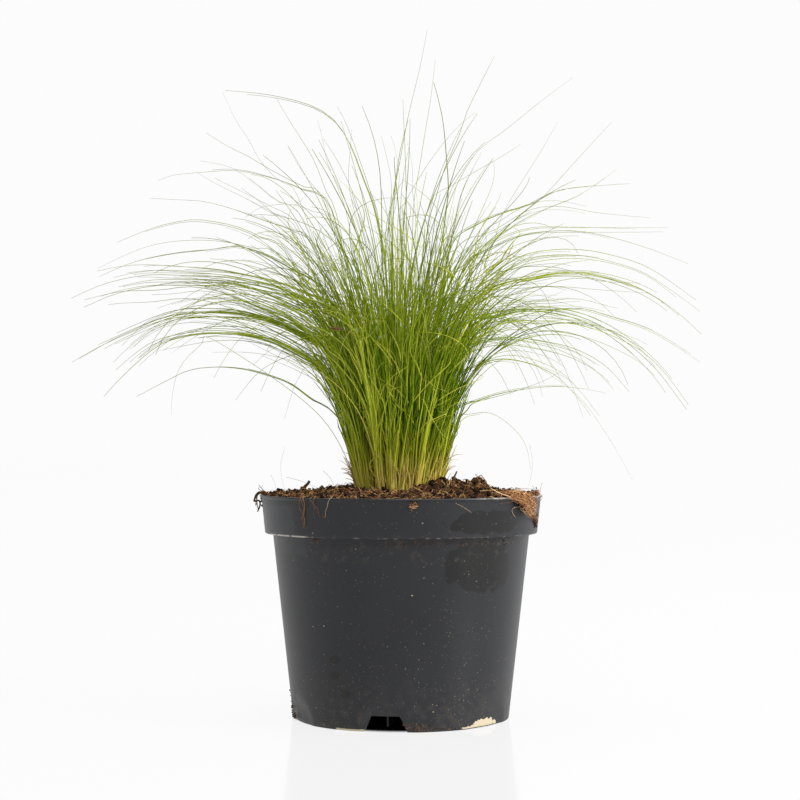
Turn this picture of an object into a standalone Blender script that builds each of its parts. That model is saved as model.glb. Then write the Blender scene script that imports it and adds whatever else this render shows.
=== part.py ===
"""Mexican feather grass in a black nursery pot, at its real size.

Metres, +Z up. The origin is on the pot's axis at the surface it stands on, and the pot's front faces -Y.
An azimuth is a turn round that axis in degrees, from the front (-Y) towards +X.
"""

import math
from typing import NamedTuple

import bmesh
import bpy

MM = 0.001

# Clearance between pieces that touch
GAP = 0.3 * MM

# Pot: 17 cm across, 2 litres, with a straight band below its lip
POT_HEIGHT = 134.5 * MM
RIM_RADIUS = 85.0 * MM
BAND_HEIGHT = 23.0 * MM
BAND_FOOT_RADIUS = 82.6 * MM
BODY_TOP_RADIUS = 77.8 * MM
FOOT_RADIUS = 65.3 * MM
WALL = 1.5 * MM
LIP_HEIGHT = 1.8 * MM
LIP_OVERHANG = 1.0 * MM
STEP_SLOPE = 1.6 * MM
ROUND_STEPS = 48
MERGE_DISTANCE = 0.05 * MM
SHARP_ANGLE = 35.0

# Underside: a floor raised on the foot ring, with drain notches, drain holes and stiffening ribs
FLOOR_UNDERSIDE = 9.3 * MM
FLOOR_THICKNESS = 1.6 * MM
NOTCH_AZIMUTHS = (-8.0, 112.0, 232.0)
NOTCH_HEIGHT = 9.1 * MM
NOTCH_WIDTH_BELOW = 25.4 * MM
NOTCH_WIDTH_ABOVE = 17.0 * MM
NOTCH_CUT_DEPTH = 16.0 * MM
CUTTER_MARGIN = 2.0 * MM
RIB_COUNT = 6
RIB_THICKNESS = 1.2 * MM
RIB_HEIGHT = 7.4 * MM
RIB_INNER_RADIUS = 12.0 * MM
RIB_OUTER_RADIUS = 55.0 * MM
HOLE_RADIUS = 4.0 * MM
HOLE_RING_RADIUS = 42.0 * MM
HOLE_SIDES = 10

# Potting soil: flat under the grass, then falling to just below the lip
CROWN_RISE = 4.5 * MM
CROWN_RADIUS = 32.0 * MM
SOIL_EDGE_RISE = -1.2 * MM
SOIL_RING_RADII = tuple(radius * MM for radius in (36, 41, 46, 52, 58, 64, 70, 76))
LUMPS_START_OVER = 9.0 * MM
LUMPS_END_OVER = 8.0 * MM

# Coir wad that lies over the lip on the right
WAD_FIRST_AZIMUTH = 46.5
WAD_LAST_AZIMUTH = 64.0
WAD_ROWS = 5
WAD_THICKNESS = 2.6 * MM
WAD_CLEARANCE = 0.6 * MM
WAD_REACH_IN = 12.0 * MM
WAD_INNER_RISE = 1.9 * MM
WAD_LEAST_HANG = 4.0 * MM
WAD_MOST_HANG = 10.5 * MM

# Grass: rings of tufts, each tuft a tapering lock of blades
TUFT_FOOT_RADIUS = 2.95 * MM
TUFT_TIP_RADIUS = 0.45 * MM
TUFT_TAPER_POWER = 0.9
TUFT_BULGE = 0.55
TUFT_STRAIGHT = 1.5 * MM
TUFT_STATIONS = 9
TUFT_STATION_STEPS = 8
TUFT_RING_STEP = 6.3 * MM
BEND_POWER = 1.27
AZIMUTH_PLAY = 5.0
PLANT_TOP = 411.0 * MM

# The plant reaches this far to the front, back, left and right, by one tuft each of the compass ring
PLANT_REACH = 190.0 * MM
COMPASS_RING = "outer"
COMPASS_LEAN = 92.0

# Colours are linear RGB, then roughness
POT_PLASTIC = ((0.018, 0.018, 0.019), 0.42)
SOIL_BROWN = ((0.055, 0.032, 0.017), 0.95)
COIR_BROWN = ((0.22, 0.11, 0.05), 0.9)
BLADE_GREEN = ((0.11, 0.19, 0.015), 0.55)


class Lump(NamedTuple):
    """A lump on the soil: where it lies, in degrees and mm, and its height and spread in mm."""

    azimuth: float
    distance: float
    rise: float
    spread: float


class Ring(NamedTuple):
    """A ring of tufts. Leans are from upright in degrees and lengths in mm, and a pair is least and most.

    The heart tuft has no lengths, because the plant's top gives its length.
    """

    name: str
    count: int
    first_azimuth: float
    foot_lean: float
    tip_leans: tuple
    lengths: tuple


SOIL_LUMPS = (
    Lump(98, 46, 5.6, 8.0),
    Lump(72, 55, 2.6, 9.0),
    Lump(30, 48, 2.0, 9.0),
    Lump(-62, 52, 1.8, 10.0),
    Lump(-100, 60, 2.4, 9.0),
    Lump(150, 50, 2.6, 11.0),
    Lump(205, 56, 2.2, 10.0),
    Lump(250, 47, 2.0, 9.0),
)

# From the heart of the clump outwards: each ring leans over more than the one inside it
TUFT_RINGS = (
    Ring("heart", 1, 90.0, 0.0, (9, 9), ()),
    Ring("inner", 6, 20.0, 2.0, (20, 36), (228, 262)),
    Ring("middle", 12, 12.0, 4.0, (42, 62), (232, 268)),
    Ring("outer", 16, 0.0, 6.0, (72, 96), (222, 256)),
    Ring("skirt", 20, 9.0, 8.0, (112, 142), (188, 232)),
)


def smooth_step(low, high, value):
    """0 below low, 1 above high, and a smooth rise between."""
    share = min(1.0, max(0.0, (value - low) / (high - low)))
    return share * share * (3.0 - 2.0 * share)


def mix(low, high, share):
    """The value that lies that share of the way from low to high."""
    return low + (high - low) * share


def play(index, channel):
    """An even spread of values from 0 to 1, in steps of the golden ratio, with a start for each channel."""
    return (index * 0.618034 + channel * 0.381966 + 0.13) % 1.0


def on_axis(radius, azimuth_deg, height):
    """The point at that distance from the pot's axis, azimuth and height."""
    angle = math.radians(azimuth_deg)
    return (radius * math.sin(angle), -radius * math.cos(angle), height)


def empty_scene():
    """Removes whatever the scene holds."""
    for obj in list(bpy.data.objects):
        bpy.data.objects.remove(obj)


def collection(name):
    """A new collection in the scene."""
    made = bpy.data.collections.new(name)
    bpy.context.scene.collection.children.link(made)
    return made


def finish_of(name, colour_and_roughness):
    """A Principled BSDF material of one colour."""
    colour, roughness = colour_and_roughness
    material = bpy.data.materials.new(name)
    material.use_nodes = True
    shader = material.node_tree.nodes["Principled BSDF"]
    shader.inputs["Base Color"].default_value = (*colour, 1.0)
    shader.inputs["Roughness"].default_value = roughness
    shader.inputs["Metallic"].default_value = 0.0
    return material


def place(name, data, group, material=None):
    """A new object of that mesh or curve, in a collection."""
    obj = bpy.data.objects.new(name, data)
    group.objects.link(obj)
    if material is not None:
        data.materials.append(material)
    return obj


def mesh_of(name, sketch):
    """Turns a finished bmesh into a mesh."""
    mesh = bpy.data.meshes.new(name)
    sketch.to_mesh(mesh)
    sketch.free()
    return mesh


def turned(name, profile, group, material):
    """A profile of (radius, height) points, turned once round the axis."""
    mesh = bpy.data.meshes.new(name)
    edges = [(i, i + 1) for i in range(len(profile) - 1)]
    mesh.from_pydata([(radius, 0.0, height) for radius, height in profile], edges, [])
    obj = place(name, mesh, group, material)
    screw = obj.modifiers.new("turn", "SCREW")
    screw.axis = "Z"
    screw.angle = math.tau
    screw.steps = ROUND_STEPS
    screw.render_steps = ROUND_STEPS
    screw.use_merge_vertices = True
    screw.merge_threshold = MERGE_DISTANCE
    return obj


def evaluated_mesh(obj):
    """The mesh that the object's modifiers make of it."""
    bpy.context.view_layer.update()
    return bpy.data.meshes.new_from_object(obj.evaluated_get(bpy.context.evaluated_depsgraph_get()))


def combine(obj, other, operation):
    """Cuts or joins obj with other, which is then only a guide."""
    boolean = obj.modifiers.new(operation.lower(), "BOOLEAN")
    boolean.operation = operation
    boolean.solver = "EXACT"
    boolean.object = other
    other.hide_render = True
    other.display_type = "WIRE"


def smooth(mesh):
    """Smooth shading, with the sharper edges left sharp."""
    mesh.shade_smooth()
    mesh.set_sharp_from_angle(angle=math.radians(SHARP_ANGLE))


def body_radius(height):
    """The pot body's outer radius at a height below the band."""
    return mix(FOOT_RADIUS, BODY_TOP_RADIUS, height / (POT_HEIGHT - BAND_HEIGHT))


def band_radius(height):
    """The band's outer radius at a height."""
    return mix(BAND_FOOT_RADIUS, RIM_RADIUS, (height - POT_HEIGHT + BAND_HEIGHT) / BAND_HEIGHT)


def pot_profile():
    """The pot's wall from the middle of its floor, up the inside, over the lip and down the outside."""
    step = POT_HEIGHT - BAND_HEIGHT
    floor_top = FLOOR_UNDERSIDE + FLOOR_THICKNESS
    lip_base = POT_HEIGHT - LIP_HEIGHT
    lip_round = 0.4 * LIP_HEIGHT
    return [
        (0.0, floor_top),
        (body_radius(floor_top) - WALL, floor_top),
        (body_radius(step) - WALL, step - STEP_SLOPE),
        (band_radius(step) - WALL, step + STEP_SLOPE),
        (band_radius(POT_HEIGHT) - WALL, POT_HEIGHT - lip_round),
        (band_radius(POT_HEIGHT) - 0.6 * WALL, POT_HEIGHT),
        (RIM_RADIUS + 0.6 * LIP_OVERHANG, POT_HEIGHT),
        (RIM_RADIUS + LIP_OVERHANG, POT_HEIGHT - lip_round),
        (band_radius(lip_base), lip_base),
        (band_radius(step), step),
        (body_radius(step), step - 0.4 * STEP_SLOPE),
        (FOOT_RADIUS, 0.0),
        (FOOT_RADIUS - WALL, 0.0),
        (body_radius(FLOOR_UNDERSIDE) - WALL, FLOOR_UNDERSIDE),
        (0.0, FLOOR_UNDERSIDE),
    ]


def add_box(sketch, size, centre, azimuth_deg, top_share=1.0):
    """Adds a box to a bmesh.

    Its size is tangential, radial and upright, its centre is a (radius, height), and its top is narrowed
    to top_share of its width.
    """
    made = bmesh.ops.create_cube(sketch, size=1.0)["verts"]
    radius, height = centre
    angle = math.radians(azimuth_deg)
    for vert in made:
        side = vert.co.x * size[0] * (top_share if vert.co.z > 0.0 else 1.0)
        out = radius - vert.co.y * size[1]
        up = height + vert.co.z * size[2]
        vert.co = (
            out * math.sin(angle) + side * math.cos(angle),
            -out * math.cos(angle) + side * math.sin(angle),
            up,
        )


def drain_cutters(group):
    """The notches in the foot ring and the holes in the floor, as one cutter."""
    sketch = bmesh.new()
    spread = (NOTCH_WIDTH_BELOW - NOTCH_WIDTH_ABOVE) / NOTCH_HEIGHT
    width = NOTCH_WIDTH_BELOW + spread * CUTTER_MARGIN
    for azimuth in NOTCH_AZIMUTHS:
        add_box(
            sketch,
            (width, NOTCH_CUT_DEPTH, NOTCH_HEIGHT + CUTTER_MARGIN),
            (FOOT_RADIUS, (NOTCH_HEIGHT - CUTTER_MARGIN) / 2.0),
            azimuth,
            top_share=NOTCH_WIDTH_ABOVE / width,
        )
    for index in range(RIB_COUNT):
        azimuth = NOTCH_AZIMUTHS[0] + (index + 0.5) * 360.0 / RIB_COUNT
        made = bmesh.ops.create_cone(
            sketch,
            cap_ends=True,
            segments=HOLE_SIDES,
            radius1=HOLE_RADIUS,
            radius2=HOLE_RADIUS,
            depth=FLOOR_THICKNESS + 2.0 * CUTTER_MARGIN,
        )
        centre = on_axis(HOLE_RING_RADIUS, azimuth, FLOOR_UNDERSIDE + FLOOR_THICKNESS / 2.0)
        bmesh.ops.translate(sketch, verts=made["verts"], vec=centre)
    return place("drain_cutters", mesh_of("drain_cutters", sketch), group)


def floor_ribs(group):
    """The ribs under the floor, one behind each notch and one midway between, as one guide."""
    sketch = bmesh.new()
    overlap = FLOOR_THICKNESS / 2.0
    centre = ((RIB_INNER_RADIUS + RIB_OUTER_RADIUS) / 2.0, FLOOR_UNDERSIDE + (overlap - RIB_HEIGHT) / 2.0)
    size = (RIB_THICKNESS, RIB_OUTER_RADIUS - RIB_INNER_RADIUS, RIB_HEIGHT + overlap)
    for index in range(RIB_COUNT):
        add_box(sketch, size, centre, NOTCH_AZIMUTHS[0] + index * 360.0 / RIB_COUNT)
    bmesh.ops.recalc_face_normals(sketch, faces=sketch.faces)
    return place("floor_ribs", mesh_of("floor_ribs", sketch), group)


def build_pot(group, guides):
    """The pot: a turned wall with ribs joined on below and the drain openings cut out."""
    pot = turned("pot", pot_profile(), group, finish_of("pot_plastic", POT_PLASTIC))
    combine(pot, floor_ribs(guides), "UNION")
    combine(pot, drain_cutters(guides), "DIFFERENCE")


def soil_height(x, y):
    """The soil's top at a point: the flat crown, the fall to the lip, and the lumps between."""
    radius = math.hypot(x, y)
    edge = band_radius(POT_HEIGHT) - WALL - GAP
    fall = smooth_step(CROWN_RADIUS, edge, radius)
    clear_of_crown = smooth_step(CROWN_RADIUS, CROWN_RADIUS + LUMPS_START_OVER, radius)
    clear_of_wall = 1.0 - smooth_step(edge - LUMPS_END_OVER, edge, radius)
    height = POT_HEIGHT + mix(CROWN_RISE, SOIL_EDGE_RISE, fall)
    for lump in SOIL_LUMPS:
        lump_x, lump_y, _ = on_axis(lump.distance * MM, lump.azimuth, 0.0)
        away = math.hypot(x - lump_x, y - lump_y) / (lump.spread * MM)
        height += lump.rise * MM * math.exp(-away * away) * clear_of_crown * clear_of_wall
    return height


def build_soil(group):
    """The soil that fills the pot, clear of its wall and floor, with its top moved to soil_height."""
    step = POT_HEIGHT - BAND_HEIGHT
    bottom = FLOOR_UNDERSIDE + FLOOR_THICKNESS + GAP
    inset = WALL + 1.2 * GAP
    edge_height = POT_HEIGHT + SOIL_EDGE_RISE
    profile = [(0.0, edge_height), (CROWN_RADIUS, edge_height)]
    profile += [(radius, edge_height) for radius in SOIL_RING_RADII]
    profile += [
        (band_radius(edge_height) - inset, edge_height),
        (band_radius(step) - inset, step + STEP_SLOPE + GAP),
        (body_radius(step) - inset, step - STEP_SLOPE + GAP),
        (body_radius(bottom) - inset, bottom),
        (0.0, bottom),
    ]
    guide = turned("soil", profile, group, finish_of("potting_soil", SOIL_BROWN))
    mesh = evaluated_mesh(guide)
    bpy.data.objects.remove(guide)
    for vert in mesh.vertices:
        if vert.co.z > edge_height - MERGE_DISTANCE:
            vert.co.z = soil_height(vert.co.x, vert.co.y)
    smooth(mesh)
    place("soil", mesh, group)


def wad_path(share):
    """The wad's line over the lip at a share of its width, as (radius, height) points from the soil on."""
    hang = mix(WAD_LEAST_HANG, WAD_MOST_HANG, math.sin(math.pi * (0.25 + 0.65 * share)))
    lip = RIM_RADIUS + LIP_OVERHANG
    outside = lip + WAD_CLEARANCE
    return [
        (RIM_RADIUS - WAD_REACH_IN, POT_HEIGHT + WAD_INNER_RISE),
        (RIM_RADIUS - 0.4 * WAD_REACH_IN, POT_HEIGHT + mix(WAD_CLEARANCE, WAD_INNER_RISE, 0.3)),
        (lip - 0.8 * LIP_OVERHANG, POT_HEIGHT + WAD_CLEARANCE),
        (outside + 0.4 * LIP_OVERHANG, POT_HEIGHT - 0.65 * LIP_HEIGHT),
        (outside, POT_HEIGHT - LIP_HEIGHT - 0.45 * hang),
        (outside - 0.3 * LIP_OVERHANG, POT_HEIGHT - LIP_HEIGHT - hang),
    ]


def build_coir_wad(group):
    """The wad: a sheet laid over the lip, thickened outwards."""
    sketch = bmesh.new()
    rows = []
    for index in range(WAD_ROWS):
        share = index / (WAD_ROWS - 1)
        azimuth = mix(WAD_FIRST_AZIMUTH, WAD_LAST_AZIMUTH, share)
        line = [on_axis(radius, azimuth, height) for radius, height in wad_path(share)]
        rows.append([sketch.verts.new(point) for point in line])
    for left, right in zip(rows, rows[1:]):
        for low in range(len(left) - 1):
            sketch.faces.new((left[low], left[low + 1], right[low + 1], right[low]))
    wad = place("coir_wad", mesh_of("coir_wad", sketch), group, finish_of("coir_fibre", COIR_BROWN))
    thicken = wad.modifiers.new("thickness", "SOLIDIFY")
    thicken.thickness = WAD_THICKNESS
    thicken.offset = 1.0
    thicken.use_even_offset = True


def lean_at(share, foot_lean, tip_lean):
    """A blade's lean from upright, in radians, at a share of its length."""
    return math.radians(mix(foot_lean, tip_lean, share**BEND_POWER))


def unit_path(foot_lean, tip_lean):
    """A blade of length 1 as (outward, upward) points, one a station, from short steps along its lean."""
    steps = (TUFT_STATIONS - 1) * TUFT_STATION_STEPS
    out, up = 0.0, 0.0
    points = [(0.0, 0.0)]
    for index in range(steps):
        lean = lean_at((index + 0.5) / steps, foot_lean, tip_lean)
        out += math.sin(lean) / steps
        up += math.cos(lean) / steps
        if (index + 1) % TUFT_STATION_STEPS == 0:
            points.append((out, up))
    return points


def crown_height():
    """Where the tufts' feet stand."""
    return POT_HEIGHT + CROWN_RISE + GAP


def tuft_shape(ring_index, index):
    """A tuft's distance from the axis, azimuth, tip lean and length.

    The heart tuft is as long as the plant's top asks. The compass ring's tufts that point front, back, left
    and right are as long as the plant's reach asks. The others have leans and lengths spread over their
    ring's range.
    """
    ring = TUFT_RINGS[ring_index]
    radius = ring_index * TUFT_RING_STEP
    order = index + 10 * ring_index
    azimuth = ring.first_azimuth + index * 360.0 / ring.count
    if ring.name == COMPASS_RING and (index * 4) % ring.count == 0:
        out, _ = unit_path(ring.foot_lean, COMPASS_LEAN)[-1]
        return radius, azimuth, COMPASS_LEAN, (PLANT_REACH - radius) / out
    tip_lean = mix(*ring.tip_leans, play(order, 0))
    if not ring.lengths:
        _, up = unit_path(ring.foot_lean, tip_lean)[-1]
        return radius, azimuth, tip_lean, (PLANT_TOP - crown_height() - TUFT_STRAIGHT) / up
    azimuth += AZIMUTH_PLAY * (play(order, 2) - 0.5)
    return radius, azimuth, tip_lean, mix(*ring.lengths, play(order, 1)) * MM


def tuft_width(share):
    """A tuft's radius at a share of its length: it swells a little above its foot, then tapers."""
    taper = mix(TUFT_FOOT_RADIUS, TUFT_TIP_RADIUS, share**TUFT_TAPER_POWER)
    return taper * (1.0 + TUFT_BULGE * math.sin(math.pi * share) ** 2)


def build_tuft(name, ring_index, index, group, material):
    """One tuft: a tapering tube along its leaning path, with a short upright foot that ends level."""
    radius, azimuth, tip_lean, length = tuft_shape(ring_index, index)
    points = [on_axis(radius, azimuth, crown_height())]
    widths = [tuft_width(0.0)]
    for station, (out, up) in enumerate(unit_path(TUFT_RINGS[ring_index].foot_lean, tip_lean)):
        height = crown_height() + TUFT_STRAIGHT + up * length
        points.append(on_axis(radius + out * length, azimuth, height))
        widths.append(tuft_width(station / (TUFT_STATIONS - 1)))
    curve = bpy.data.curves.new(name, "CURVE")
    curve.dimensions = "3D"
    curve.bevel_depth = 1.0
    curve.bevel_resolution = 1
    curve.use_fill_caps = True
    spline = curve.splines.new("POLY")
    spline.points.add(len(points) - 1)
    for point, spot, width in zip(spline.points, points, widths):
        point.co = (*spot, 1.0)
        point.radius = width
    place(name, curve, group, material)


def build_grass(group):
    """Every tuft, ring by ring from the heart of the clump outwards."""
    material = finish_of("grass_blades", BLADE_GREEN)
    for ring_index, ring in enumerate(TUFT_RINGS):
        for index in range(ring.count):
            number = "" if ring.count == 1 else f"_{index + 1:02d}"
            build_tuft(f"tuft_{ring.name}{number}", ring_index, index, group, material)


def main():
    """Builds the pot, its soil, the coir wad and the grass."""
    empty_scene()
    parts = collection("potted_feather_grass")
    guides = collection("cutters_and_guides")
    build_pot(parts, guides)
    build_soil(parts)
    build_coir_wad(parts)
    build_grass(parts)


main()
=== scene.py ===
"""Looks of the potted Mexican feather grass: pot, soil, coir, blades and loose bits, in a pale studio.

Metres, +Z up. The origin is on the pot's axis at the surface it stands on, and the pot's front faces -Y.
An azimuth is a turn round that axis in degrees, from the front (-Y) towards +X.
"""

import itertools
import logging
import math
from collections.abc import Callable, Iterable, Sequence
from dataclasses import dataclass, field
from enum import Enum
from functools import reduce

import bpy
import numpy as np
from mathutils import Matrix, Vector


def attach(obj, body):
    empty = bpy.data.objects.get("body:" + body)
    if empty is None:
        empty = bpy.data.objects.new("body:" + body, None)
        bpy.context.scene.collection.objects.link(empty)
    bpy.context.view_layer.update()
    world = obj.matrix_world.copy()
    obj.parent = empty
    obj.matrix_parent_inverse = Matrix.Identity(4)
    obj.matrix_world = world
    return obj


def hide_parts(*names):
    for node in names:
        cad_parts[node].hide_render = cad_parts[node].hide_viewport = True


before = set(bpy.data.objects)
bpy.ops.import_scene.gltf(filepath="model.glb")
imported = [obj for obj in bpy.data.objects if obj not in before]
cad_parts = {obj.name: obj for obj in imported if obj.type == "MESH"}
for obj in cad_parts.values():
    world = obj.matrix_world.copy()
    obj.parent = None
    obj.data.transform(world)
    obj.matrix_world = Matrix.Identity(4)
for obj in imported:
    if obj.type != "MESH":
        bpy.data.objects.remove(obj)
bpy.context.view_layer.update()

log = logging.getLogger("feather_grass")

Array = np.ndarray
Pair = tuple[float, float]
Triple = tuple[float, float, float]

MM = 0.001
# The golden ratio less one. What its multiples have past the point spreads evenly from 0 to 1
GOLDEN = 0.618034
BODY = "root"
# How far in front of the pot's axis the camera stands, and how high
CAMERA_DISTANCE = 1.15
CAMERA_HEIGHT = 170.0 * MM
# The name of the UV map that a piece with a map is given
BAKE_MAP = "OFBake"


class Slot(Enum):
    """The record's material slots."""

    POT = "pot_plastic"
    SOIL = "potting_soil"
    COIR = "coir_fibre"
    GRASS = "grass_blades"


class Seed(Enum):
    """Which random numbers a piece is made from."""

    SOIL_CRUMBS = 11
    SOIL_FIBRES = 12
    COIR_FIBRES = 21
    TUFTS = 31
    SHEATHS = 41
    DEAD_BLADES = 42
    CURLY_BLADES = 43
    STRANDS = 44
    STRAND_TINTS = 45
    TURNED_LOCKS = 46
    WALL_CRUMBS = 51
    COIR_KNOTS = 52

    def draws(self, number: int = 0) -> np.random.Generator:
        """The random numbers, of the first piece or of a later one of the same kind."""
        return np.random.default_rng(self.value + number)


# Numbers and noise


def mix(low: float | Array, high: float | Array, share: float | Array) -> float | Array:
    """The value that lies that share of the way from low to high."""
    return low + (high - low) * share


def smooth_step(low: float | Array, high: float | Array, value: float | Array) -> Array:
    """0 below low, 1 above high, and a smooth rise between."""
    share = np.clip((value - low) / (high - low), 0.0, 1.0)
    return share * share * (3.0 - 2.0 * share)


def on_axis(radius: float | Array, azimuth: float | Array, height: float | Array) -> Array:
    """Points from their distance to the pot's axis, azimuth in degrees and height."""
    angle = np.radians(azimuth)
    return np.stack(np.broadcast_arrays(radius * np.sin(angle), -radius * np.cos(angle), height), axis=-1)


def unit(vectors: Array) -> Array:
    """The same directions with length 1."""
    return vectors / np.maximum(np.linalg.norm(vectors, axis=-1, keepdims=True), 1e-12)


# What a cell's numbers, its seed and the sine of their sum are multiplied by
CELL_WEIGHTS = np.array([127.1, 311.7, 74.7])
SEED_WEIGHT = 53.3
SINE_WEIGHT = 43758.5453


def cell_values(cells: Array, seed: float) -> Array:
    """A fixed value from -1 to 1 for each whole-numbered cell: the far decimals of a sine."""
    mixed = np.sin(cells @ CELL_WEIGHTS + SEED_WEIGHT * seed) * SINE_WEIGHT
    return 2.0 * (mixed - np.floor(mixed)) - 1.0


def noise(points: Array, size: float, seed: float) -> Array:
    """Smooth noise from -1 to 1: fixed values at the corners of cells, blended by a smooth step.

    Args:
        points: the places, as (..., 3).
        size: a cell's side in metres.
        seed: which noise.

    Returns:
        The noise at each place.
    """
    scaled = points / size
    cell = np.floor(scaled)
    share = scaled - cell
    share = share * share * (3.0 - 2.0 * share)
    total = np.zeros(points.shape[:-1])
    for corner in itertools.product((0.0, 1.0), repeat=3):
        weight = np.prod(np.where(np.array(corner) > 0.0, share, 1.0 - share), axis=-1)
        total += weight * cell_values(cell + np.array(corner), seed)
    return total


def wobble(points: Array, size: float, seed: float) -> Array:
    """Three noises, of that seed and the next two, as a shift along x, y and z."""
    return np.stack([noise(points, size, seed + k) for k in range(3)], axis=-1)


def even(stations: int) -> Array:
    """Even shares of a line's length, from 0 at its start to 1 at its end."""
    return np.linspace(0.0, 1.0, stations)


def around(count: int) -> Array:
    """Even azimuths once round the axis."""
    return np.arange(count) * 360.0 / count


# How many points a line's stretch has before it is sampled anew
STRETCH_POINTS = 24


def smooth_line(points: Sequence[Sequence[float]], stations: int) -> Array:
    """A smooth line through a few points, evenly spread along its length.

    Each stretch is a cubic that passes its two ends with the slope of the chord between their neighbours.
    The line is sampled finely, and then at equal steps of length.

    Args:
        points: the points to pass through, three numbers each.
        stations: how many points to return.

    Returns:
        (stations, 3) points.
    """
    given = np.array(points, float)
    padded = np.concatenate([2 * given[:1] - given[1:2], given, 2 * given[-1:] - given[-2:-1]])
    share = np.linspace(0.0, 1.0, STRETCH_POINTS, endpoint=False)[None, :, None]
    before, here, there, after = (padded[i : i + len(given) - 1, None] for i in range(4))
    fine = 0.5 * (
        2.0 * here
        + (there - before) * share
        + (2.0 * before - 5.0 * here + 4.0 * there - after) * share**2
        + (3.0 * here - before - 3.0 * there + after) * share**3
    )
    fine = np.concatenate([fine.reshape(-1, 3), given[-1:]])
    run = np.concatenate([[0.0], np.cumsum(np.linalg.norm(np.diff(fine, axis=0), axis=1))])
    wanted = np.linspace(0.0, run[-1], stations)
    return np.stack([np.interp(wanted, run, fine[:, k]) for k in range(3)], axis=-1)


# Surfaces as arrays


@dataclass
class Shape:
    """A surface as arrays, before it is a mesh.

    Attributes:
        points: (n, 3) places.
        faces: arrays of point numbers, one row for each face; faces with as many corners share an array.
        maps: for each array of faces, the (faces, corners, 2) places on the UV map; empty for no map.
        values: numbers given to the points, by name.
    """

    points: Array
    faces: list[Array]
    maps: list[Array] = field(default_factory=list)
    values: dict[str, Array] = field(default_factory=dict)

    @classmethod
    def joined(cls, shapes: Sequence["Shape"]) -> "Shape":
        """Several shapes as one, with their UV maps side by side in equal columns.

        Args:
            shapes: the shapes, which have the same values.

        Returns:
            The one shape.
        """
        starts = np.cumsum([0] + [len(s.points) for s in shapes])
        share = 1.0 / len(shapes)
        return cls(
            np.concatenate([s.points for s in shapes]),
            [faces + start for s, start in zip(shapes, starts) for faces in s.faces],
            [places * (share, 1.0) + (i * share, 0.0) for i, s in enumerate(shapes) for places in s.maps],
            {key: np.concatenate([s.values[key] for s in shapes]) for key in shapes[0].values},
        )

    def piece(
        self, name: str, material: bpy.types.Material, slot: Slot, replaces: Sequence[str] = ()
    ) -> bpy.types.Object:
        """Makes the shape an object that rides on the part.

        Args:
            name: the piece's name.
            material: what it wears.
            slot: the record's slot for its finish; not used.
            replaces: the CAD nodes that it stands for.

        Returns:
            The object, smooth shaded, at the origin.
        """
        mesh = bpy.data.meshes.new(name)
        corners = np.concatenate([faces.ravel() for faces in self.faces])
        sizes = np.concatenate([np.full(len(faces), faces.shape[1]) for faces in self.faces])
        mesh.vertices.add(len(self.points))
        mesh.vertices.foreach_set("co", self.points.astype(np.float32).ravel())
        mesh.loops.add(len(corners))
        mesh.loops.foreach_set("vertex_index", corners.astype(np.int32))
        mesh.polygons.add(len(sizes))
        mesh.polygons.foreach_set("loop_start", (np.cumsum(sizes) - sizes).astype(np.int32))
        mesh.update(calc_edges=True)
        if self.maps:
            places = np.concatenate([p.reshape(-1, 2) for p in self.maps])
            mesh.uv_layers.new(name=BAKE_MAP).uv.foreach_set("vector", places.astype(np.float32).ravel())
        for key, numbers in self.values.items():
            layer = mesh.attributes.new(key, "FLOAT", "POINT")
            layer.data.foreach_set("value", numbers.astype(np.float32))
        mesh.shade_smooth()
        mesh.materials.append(material)
        made = bpy.data.objects.new(name, mesh)
        bpy.context.scene.collection.objects.link(made)
        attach(made, BODY)
        if replaces:
            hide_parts(*replaces)
        log.info("%s: %d triangles", name, int((sizes - 2).sum()))
        return made


# What a tube's column on the UV map leaves free at each side, and its walls at each end. The round ends lie
# in the middle of that, this wide and tall
COLUMN_EDGE = 0.08
WALL_EDGE = 0.02
END_WIDTH = 0.3
END_HEIGHT = 0.4 * WALL_EDGE


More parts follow.
